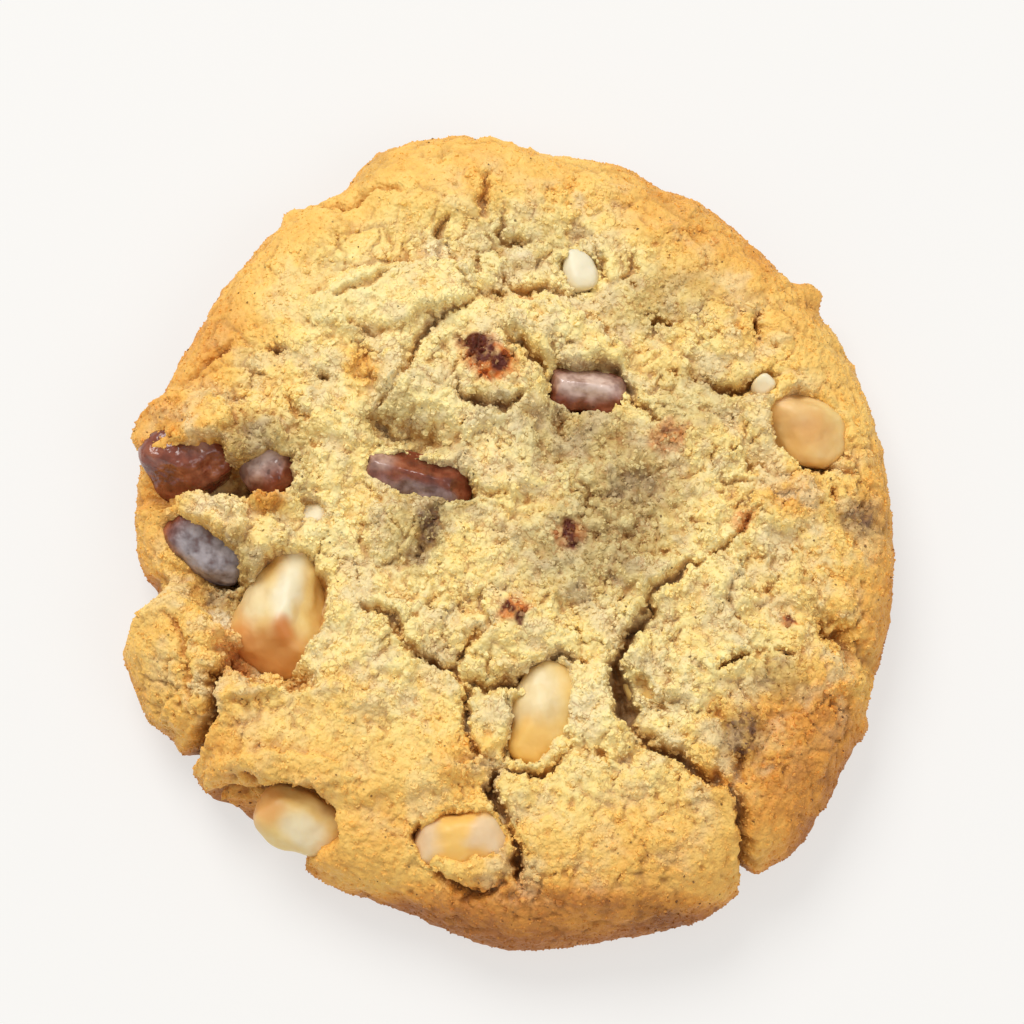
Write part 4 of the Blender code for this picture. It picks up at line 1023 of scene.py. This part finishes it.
def make_crevice_shade_group():
    """Painted shade in thin broken lines between crumbs, wandering and missing in places."""
    group, given, result = new_group(
        "crevice shade lines",
        (("Per metre", "NodeSocketFloat", 850.0), ("Width", "NodeSocketFloat", 0.09),
         ("Presence", "NodeSocketFloat", 0.5)),
        (("Mask", "NodeSocketFloat"),),
    )
    place = object_place(group)
    wander = noise_texture(group, place, times(group, given["Per metre"], 1.7), 1.0)
    moved = add_node(group, "ShaderNodeVectorMath",
                     {0: wander["Color"], 1: (0.0008, 0.0008, 0.0008), 2: place},
                     operation="MULTIPLY_ADD")
    cells = add_node(group, "ShaderNodeTexVoronoi",
                     {"Vector": moved.outputs[0], "Scale": given["Per metre"]},
                     feature="DISTANCE_TO_EDGE")
    line = math_node(group, "SUBTRACT", 1.0,
                     math_node(group, "DIVIDE", cells.outputs["Distance"], given["Width"]),
                     clamp=True)
    cover = noise_texture(group, place, times(group, given["Per metre"], 0.45), 1.0)[0]
    there = remap(group, math_node(group, "ADD", cover, given["Presence"]), 0.92, 1.12)
    group.links.new(times(group, line, there), result[0])
    return group


def use_group(tree, group, values=None):
    node = add_node(tree, "ShaderNodeGroup", node_tree=group)
    set_inputs(tree, node, values or {})
    return node.outputs[0]


def new_material(name):
    material = bpy.data.materials.new(name)
    material.use_nodes = True
    tree = material.node_tree
    return material, tree, tree.nodes["Principled BSDF"]


def dough_material(groups):
    """Baked dough: browning, stains round the chocolate, burnt spots, specks, and painted shade in
    hollows, crevices and cracks.
    """
    material, tree, shader = new_material("baked dough")
    tone = use_group(tree, groups["mottle"], {"Fine share": 0.45})
    color = use_group(tree, groups["bake"], {"Browning": mask_value(tree, "brown"),
                                             "Hollow shade": mask_value(tree, "hollow_shade"), "Tone": tone})
    color = use_group(tree, groups["stain"], {"Color": color, "Tone": tone})
    # Painted shade in the lines between crumbs
    crevice = times(tree, mask_value(tree, "crumb"), use_group(tree, groups["crevice"]))
    color = mix_color(tree, times(tree, crevice, 0.6), color, "crevice")
    # Painted shade in open cracks
    color = mix_color(tree, times(tree, mask_value(tree, "gap"), 0.75), color, "open crack")
    specks = use_group(tree, groups["speck"], {"Cells per metre": 800.0, "Share": 0.2,
                                               "Radius": 0.13})
    color = mix_color(tree, times(tree, specks, 0.85), color, "speck in dough")
    set_dough_surface(tree, shader, color)
    tree.links.new(use_group(tree, groups["grain"]), shader.inputs["Normal"])
    return material


def crumb_material(groups):
    """A loose crumb: the dough's colour with a tone of its own."""
    material, tree, shader = new_material("loose crumb")
    change = times(tree, math_node(tree, "SUBTRACT", mask_value(tree, "tone"), 0.5), 0.3)
    tone = math_node(tree, "ADD", 0.5, change)
    # Painted shade in hollows, weaker on loose crumbs
    hollow_shade = times(tree, mask_value(tree, "hollow_shade"), 0.6)
    color = use_group(tree, groups["bake"], {"Browning": mask_value(tree, "brown"),
                                             "Hollow shade": hollow_shade, "Tone": tone})
    color = use_group(tree, groups["stain"], {"Color": color, "Tone": tone})
    dark = math_node(tree, "GREATER_THAN", mask_value(tree, "tone"), 0.985)
    color = mix_color(tree, times(tree, dark, 0.8), color, "dark crumb")
    set_dough_surface(tree, shader, color)
    return material


def set_dough_surface(tree, shader, color):
    set_inputs(tree, shader, {
        "Base Color": color,
        "Roughness": 0.55,
        "Specular IOR Level": 0.35,
        "Subsurface Weight": 0.06,
        "Subsurface Radius": (1.0, 0.84, 0.58),
        "Subsurface Scale": 0.0006,
    })


def chocolate_material(groups):
    """Milk chocolate with grey bloom, dough film and a painted sheen by mask."""
    material, tree, shader = new_material("milk chocolate")
    tone = use_group(tree, groups["mottle"], {"Coarse per metre": 420.0, "Fine share": 0.4})
    color = color_ramp(tree, tone, CHOCOLATE_RAMP)
    bloom_tone = remap(tree, tone, 0.3, 0.65)
    bloom = mix_color(tree, bloom_tone, "dull bloom", "light bloom")
    bloomed = times(tree, mask_value(tree, "bloom"), remap(tree, tone, 0.28, 0.46, 0.45, 1.0))
    color = mix_color(tree, bloomed, color, bloom)
    # Dough film, and on the upper chunk a painted highlight across its top
    film_and_sheen = times(tree, mask_value(tree, "film"), remap(tree, tone, 0.36, 0.6, 0.4))
    color = mix_color(tree, film_and_sheen, color, "film on chocolate")
    specks = use_group(tree, groups["speck"], {"Cells per metre": 900.0, "Share": 0.22,
                                               "Radius": 0.2})
    color = mix_color(tree, times(tree, specks, 0.6), color, "speck in chocolate")
    rough = math_node(tree, "ADD", 0.2, times(tree, mask_value(tree, "bloom"), 0.3))
    set_inputs(tree, shader, {
        "Base Color": color,
        "Roughness": rough,
        "Specular IOR Level": 0.7,
        "Normal": use_group(tree, groups["grain"], {"Per metre": 1300.0, "Height": 0.0002,
                                                    "Strength": 0.5}),
    })
    return material


def nut_material(groups):
    """Macadamia: waxy ivory that turns tan and toasted by mask."""
    material, tree, shader = new_material("macadamia")
    tone = use_group(tree, groups["mottle"], {"Coarse per metre": 180.0, "Fine share": 0.25})
    ivory = color_ramp(tree, tone, NUT_RAMP)
    color = mix_color(tree, mask_value(tree, "white"), ivory, "white nut")
    color = mix_color(tree, mask_value(tree, "tan"), color, "tan nut")
    color = mix_color(tree, mask_value(tree, "toast"), color, "toasted nut")
    color = mix_color(tree, mask_value(tree, "film"), color, "film on nut")
    specks = use_group(tree, groups["speck"], {"Cells per metre": 420.0, "Share": 0.08,
                                               "Radius": 0.07})
    color = mix_color(tree, times(tree, specks, 0.7), color, "speck in nut")
    set_inputs(tree, shader, {
        "Base Color": color,
        "Roughness": 0.42,
        "Specular IOR Level": 0.4,
        "Subsurface Weight": 0.4,
        "Subsurface Radius": (1.0, 0.85, 0.6),
        "Subsurface Scale": 0.0016,
        "Normal": use_group(tree, groups["grain"], {"Per metre": 700.0, "Height": 0.00022,
                                                    "Strength": 0.45}),
    })
    return material


def make_crumb_tree():
    """Scatters uneven crumbs where the mask of open crumb is high."""
    group, given, result = new_group(
        "scattered crumbs",
        (("Geometry", "NodeSocketGeometry", None), ("Per square metre", "NodeSocketFloat", 1e6),
         ("Largest", "NodeSocketFloat", 0.001), ("Smallest share", "NodeSocketFloat", 0.5),
         ("Roundness", "NodeSocketInt", 2), ("Unevenness", "NodeSocketFloat", 0.0002),
         ("Seed", "NodeSocketInt", 1), ("Where", "NodeSocketString", "crumb"),
         ("Darkest", "NodeSocketFloat", 1.0), ("Sunk", "NodeSocketFloat", -0.03),
         ("Material", "NodeSocketMaterial", None)),
        (("Geometry", "NodeSocketGeometry"),),
        "GeometryNodeTree",
    )
    mask, bare, gap = (
        add_node(group, "GeometryNodeInputNamedAttribute", {"Name": name},
                 data_type="FLOAT").outputs[0]
        for name in (given["Where"], "bare", "gap")
    )
    covered = math_node(group, "SUBTRACT", math_node(group, "SUBTRACT", 1.0, bare), gap,
                        clamp=True)
    density = times(group, times(group, mask, covered), given["Per square metre"])
    points = add_node(group, "GeometryNodeDistributePointsOnFaces",
                      {"Mesh": given["Geometry"], "Density": density,
                       "Seed": given["Seed"]})
    tone = add_node(group, "FunctionNodeRandomValue", {3: given["Darkest"], "Seed": 5},
                    data_type="FLOAT")
    depth = times(group, given["Largest"], given["Sunk"])
    down = add_node(group, "ShaderNodeVectorMath", {0: points.outputs["Normal"], "Scale": depth},
                    operation="SCALE")
    sunk = add_node(group, "GeometryNodeSetPosition",
                    {"Geometry": points.outputs["Points"], "Offset": down.outputs[0]})
    toned = add_node(group, "GeometryNodeStoreNamedAttribute",
                     {"Geometry": sunk.outputs[0], "Name": "tone",
                      "Value": tone.outputs[1]}, data_type="FLOAT", domain="POINT")
    ball = add_node(group, "GeometryNodeMeshIcoSphere",
                    {"Radius": 0.5, "Subdivisions": given["Roundness"]})
    turn = add_node(group, "FunctionNodeRandomValue", {"Max": (6.28, 6.28, 6.28), "Seed": 11},
                    data_type="FLOAT_VECTOR")
    size = add_node(group, "FunctionNodeRandomValue",
                    {2: given["Smallest share"], 3: 1.0, "Seed": 17}, data_type="FLOAT")
    shape = add_node(group, "FunctionNodeRandomValue",
                     {"Min": (0.7, 0.6, 0.5), "Max": (1.25, 1.05, 0.9), "Seed": 23},
                     data_type="FLOAT_VECTOR")
    length = times(group, size.outputs[1], given["Largest"])
    scale = add_node(group, "ShaderNodeVectorMath", {0: shape.outputs[0], "Scale": length},
                     operation="SCALE")
    placed = add_node(group, "GeometryNodeInstanceOnPoints",
                      {"Points": toned.outputs[0], "Instance": ball.outputs["Mesh"],
                       "Rotation": turn.outputs[0], "Scale": scale.outputs[0]})
    real = add_node(group, "GeometryNodeRealizeInstances", {"Geometry": placed.outputs[0]})
    uneven = add_node(group, "ShaderNodeTexNoise", {"Scale": 3400.0, "Detail": 1.0})
    centred = add_node(group, "ShaderNodeVectorMath",
                       {0: uneven.outputs["Color"], 1: (0.5, 0.5, 0.5)}, operation="SUBTRACT")
    reach = times(group, given["Unevenness"], 2.0)
    offset = add_node(group, "ShaderNodeVectorMath", {0: centred.outputs[0], "Scale": reach},
                      operation="SCALE")
    bent = add_node(group, "GeometryNodeSetPosition",
                    {"Geometry": real.outputs[0], "Offset": offset.outputs[0]})
    faceted = add_node(group, "GeometryNodeSetShadeSmooth",
                       {"Geometry": bent.outputs[0], "Shade Smooth": False})
    painted = add_node(group, "GeometryNodeSetMaterial",
                       {"Geometry": faceted.outputs[0], "Material": given["Material"]})
    group.links.new(painted.outputs[0], result[0])
    return group


def scatter_crumbs(name, ground, tree, material, settings):
    """Runs the crumb tree over the ground's mesh and keeps the result as a plain mesh."""
    source = bpy.data.objects.new(name + "_source", ground.data)
    bpy.context.scene.collection.objects.link(source)
    modifier = source.modifiers.new("crumbs", "NODES")
    modifier.node_group = tree
    settings = {**settings, "Material": material}
    for socket in tree.interface.items_tree:
        if socket.in_out == "INPUT" and socket.name in settings:
            modifier[socket.identifier] = settings[socket.name]
    source.update_tag()
    shown = bpy.context.evaluated_depsgraph_get()
    mesh = bpy.data.meshes.new_from_object(
        source.evaluated_get(shown), preserve_all_data_layers=True, depsgraph=shown
    )
    bpy.data.objects.remove(source, do_unlink=True)
    mesh.name = name
    crumbs = bpy.data.objects.new(name, mesh)
    bpy.context.scene.collection.objects.link(crumbs)
    return crumbs


# Nuts and chocolate

INCLUSION_PATCHES = {
    "chip_rim": {
        "film": (Area(-33.0, 9.8, 3.0, 1.0, 35, 0.3),),
    },
    "chip_round": {
        "film": (Area(-27.6, 7.4, 3.0, 2.2, 30, 0.8),),
        "bloom": (Area(-27.2, 7.6, 2.2, 1.0, 30, 0.5),),
    },
    "chip_bloomed": {
        "bloom": (Area(-32.8, -3.4, 4.6, 2.8, -32, 1.0, 0.6),),
    },
    "chip_centre": {
        "film": (Area(-14.6, 6.4, 1.6, 1.2, 0, 0.5),),
        "bloom": (Area(-10.0, 3.2, 4.4, 0.8, -14, 0.6),),
    },
    "chip_upper": {
        # Painted highlight: on this chunk the film mask lays a pale sheen across its top.
        "film": (Area(8.6, 15.2, 3.8, 1.6, -8, 1.0),),
    },
    "nut_left": {
        # On this nut the white band along the ridge is partly painted highlight, and the tan on
        # the lower left is toasting and partly painted shade beneath the nut.
        "white": (Area(-24.4, -6.8, 1.6, 5.4, -10, 0.9), Area(-28.0, -8.6, 1.6, 3.0, -10, 0.4)),
        "tan": (Area(-27.0, -14.8, 5.8, 3.0, -14, 0.9), Area(-29.8, -11.6, 1.2, 4.0, 12, 0.4)),
        "toast": (Area(-24.8, -12.2, 1.2, 1.5, 20, 0.9, 1.2),),
        "film": (Area(-27.4, -3.0, 2.6, 3.2, 20, 0.7),),
    },
    "nut_right": {
        "tan": (Area(31.0, 12.6, 4.4, 2.4, -45, 0.45), Area(33.6, 9.0, 4.0, 3.0, 20, 0.3)),
        "white": (Area(29.6, 14.8, 1.2, 1.4, 0, 0.6),),
    },
    "nut_centre": {
        "white": (Area(2.6, -19.6, 2.6, 3.6, -10, 0.45),),
        "film": (Area(1.8, -24.8, 3.0, 2.8, 0, 0.9),),
    },
    "nut_rim": {
        "white": (Area(-22.6, -34.0, 2.8, 1.6, -28, 0.7),),
        "tan": (Area(-27.0, -31.0, 2.4, 2.2, -30, 0.7),),
    },
    "nut_lower": {
        "white": (Area(-5.6, -35.2, 6.0, 3.6, 0, 0.8, 0.6),),
        "tan": (Area(-6.5, -35.2, 6.0, 4.0, 0, 0.40),),
        "film": (Area(-6.0, -33.8, 1.9, 3.2, -24, 1.0, 0.9),
                 Area(-5.2, -31.8, 5.0, 1.2, 4, 0.7, 0.9),
                 Area(-5.2, -37.6, 3.4, 1.4, 4, 0.9, 0.9)),
    },
    "nut_top": {
        "white": (Area(7.4, 29.2, 3.0, 3.4, 0, 1.0),),
    },
    "nut_bit_crack": {
        "film": (Area(13.8, -19.0, 3.0, 3.0, 0, 0.7),),
    },
    "nut_bit_left": {
        "white": (Area(-22.0, 0.9, 2.0, 1.6, 0, 0.9),),
    },
    "nut_bit_right": {
        "white": (Area(27.9, 15.3, 1.6, 1.6, 0, 0.9),),
    },
}
PIECE_EFFECTS = {"chocolate": ("bloom", "film"), "nut": ("white", "tan", "toast", "film")}
PIECE_WAVES = {"chocolate": ((3.0, 0.45), (1.2, 0.14)), "nut": ((3.6, 0.6), (1.5, 0.2))}
SOFT_FLAT_EDGE = {"chocolate": 0.3, "nut": 1.3}


def inclusion_points(directions, item):
    """Points of a nut or chocolate piece in millimetres, with soft edges and fine waves."""
    blocky = np.sign(directions) * np.abs(directions) ** item.squareness
    narrowing = 1.0 - item.taper * blocky[:, :1]
    half = np.array([item.half_length, item.half_width, item.half_height])
    shaped = blocky * half * np.concatenate([np.ones_like(narrowing), narrowing, narrowing], 1)
    turn = np.array(Matrix.Rotation(math.radians(item.turn), 3, "Z"))
    shaped = shaped @ turn.T
    for flat in item.flats:
        facing, tilt = math.radians(flat.facing), math.radians(flat.tilt)
        normal = np.array([math.sin(tilt) * math.cos(facing), math.sin(tilt) * math.sin(facing),
                           math.cos(tilt)])
        past = shaped @ normal - flat.reach
        beyond = 0.5 * (past + np.sqrt(past**2 + SOFT_FLAT_EDGE[item.kind] ** 2)) - 0.12
        shaped = shaped - np.maximum(beyond, 0.0)[:, None] * normal
    outward = shaped / np.maximum(np.linalg.norm(shaped, axis=1, keepdims=True), 1e-6)
    placed = shaped + np.array([item.x, item.y, item.top - item.half_height])
    for length, height in PIECE_WAVES[item.kind]:
        placed = placed + outward * (height * noise_at(placed, length, 71.0))[:, None]
    return placed


def make_inclusion(item, material):
    ball = bmesh.new()
    bmesh.ops.create_icosphere(ball, subdivisions=item.steps, radius=1.0)
    directions = np.array([vertex.co[:] for vertex in ball.verts])
    faces = np.array([[vertex.index for vertex in face.verts] for face in ball.faces])
    ball.free()
    points = inclusion_points(directions, item)
    piece = mesh_object(item.name + "_piece", points, faces)
    masks = {name: np.zeros(len(points)) for name in PIECE_EFFECTS[item.kind]}
    ragged_x = points[:, 0] + 0.5 * wave(points, "piece x")
    ragged_y = points[:, 1] + 0.5 * wave(points, "piece y")
    for effect, areas in INCLUSION_PATCHES[item.name].items():
        for area in areas:
            masks[effect] += area.amount * patch_share(ragged_x, ragged_y, area)
    write_masks(piece.data, {name: np.clip(mask, 0, 1) for name, mask in masks.items()})
    piece.data.materials.append(material)
    return piece


# Surroundings


def make_floor():
    bpy.ops.mesh.primitive_plane_add(size=FLOOR_SIZE)
    floor = bpy.context.object
    floor.name = "studio_floor"
    floor.data.name = "studio_floor"
    material, tree, shader = new_material("studio white")
    set_inputs(tree, shader, {
        "Base Color": FLOOR_COLOR,
        "Roughness": 0.9,
        "Specular IOR Level": 0.1,
        "Emission Color": FLOOR_GLOW,
        "Emission Strength": FLOOR_GLOW_STRENGTH,
    })
    floor.data.materials.append(material)


def add_soft_light(name, place, size, power, color):
    data = bpy.data.lights.new(name, "AREA")
    data.shape = "DISK"
    data.size = size
    data.energy = power
    data.color = color
    light = bpy.data.objects.new(name, data)
    light.location = place
    light.rotation_euler = (-Vector(place)).to_track_quat("-Z", "Y").to_euler()
    bpy.context.scene.collection.objects.link(light)


def set_camera():
    """A long lens at the photo's angle, high over the cookie."""
    elevation = math.radians(CAMERA_ELEVATION)
    aim = Vector(CAMERA_AIM)
    data = bpy.data.cameras.new("camera")
    data.lens = CAMERA_LENS
    data.clip_start = 0.05
    camera = bpy.data.objects.new("camera", data)
    back = Vector((0.0, -math.cos(elevation), math.sin(elevation)))
    camera.location = aim + CAMERA_DISTANCE * back
    camera.rotation_euler = (aim - camera.location).to_track_quat("-Z", "Y").to_euler()
    bpy.context.scene.collection.objects.link(camera)
    bpy.context.scene.camera = camera


def set_light():
    world = bpy.data.worlds.new("studio")
    world.use_nodes = True
    set_inputs(world.node_tree, world.node_tree.nodes["Background"],
               {"Color": WORLD_COLOR, "Strength": WORLD_STRENGTH})
    bpy.context.scene.world = world
    for name, settings in LIGHTS.items():
        add_soft_light(name, *settings)
    bpy.context.scene.view_settings.view_transform = "Standard"
    bpy.context.scene.view_settings.look = "None"


def main():
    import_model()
    groups = {
        "speck": make_speck_group(),
        "mottle": make_mottle_group(),
        "bake": make_bake_group(),
        "stain": make_stain_group(),
        "grain": make_grain_group(),
        "crevice": make_crevice_shade_group(),
    }
    points, triangles, masks = shape_skin()
    dough = mesh_object("baked_dough", points, triangles)
    write_masks(dough.data, masks)
    dough.data.materials.append(dough_material(groups))
    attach(dough, "root")
    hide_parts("dough")

    crumb_tree = make_crumb_tree()
    loose = crumb_material(groups)
    for name, values in CRUMB_KINDS.items():
        piece = scatter_crumbs(name, dough, crumb_tree, loose, dict(zip(CRUMB_SETTINGS, values)))
        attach(piece, "root")

    materials = {"chocolate": chocolate_material(groups), "nut": nut_material(groups)}
    for item in INCLUSIONS:
        piece = make_inclusion(item, materials[item.kind])
        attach(piece, "root")
        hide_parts(item.name)

    make_floor()
    set_light()
    set_camera()


main()
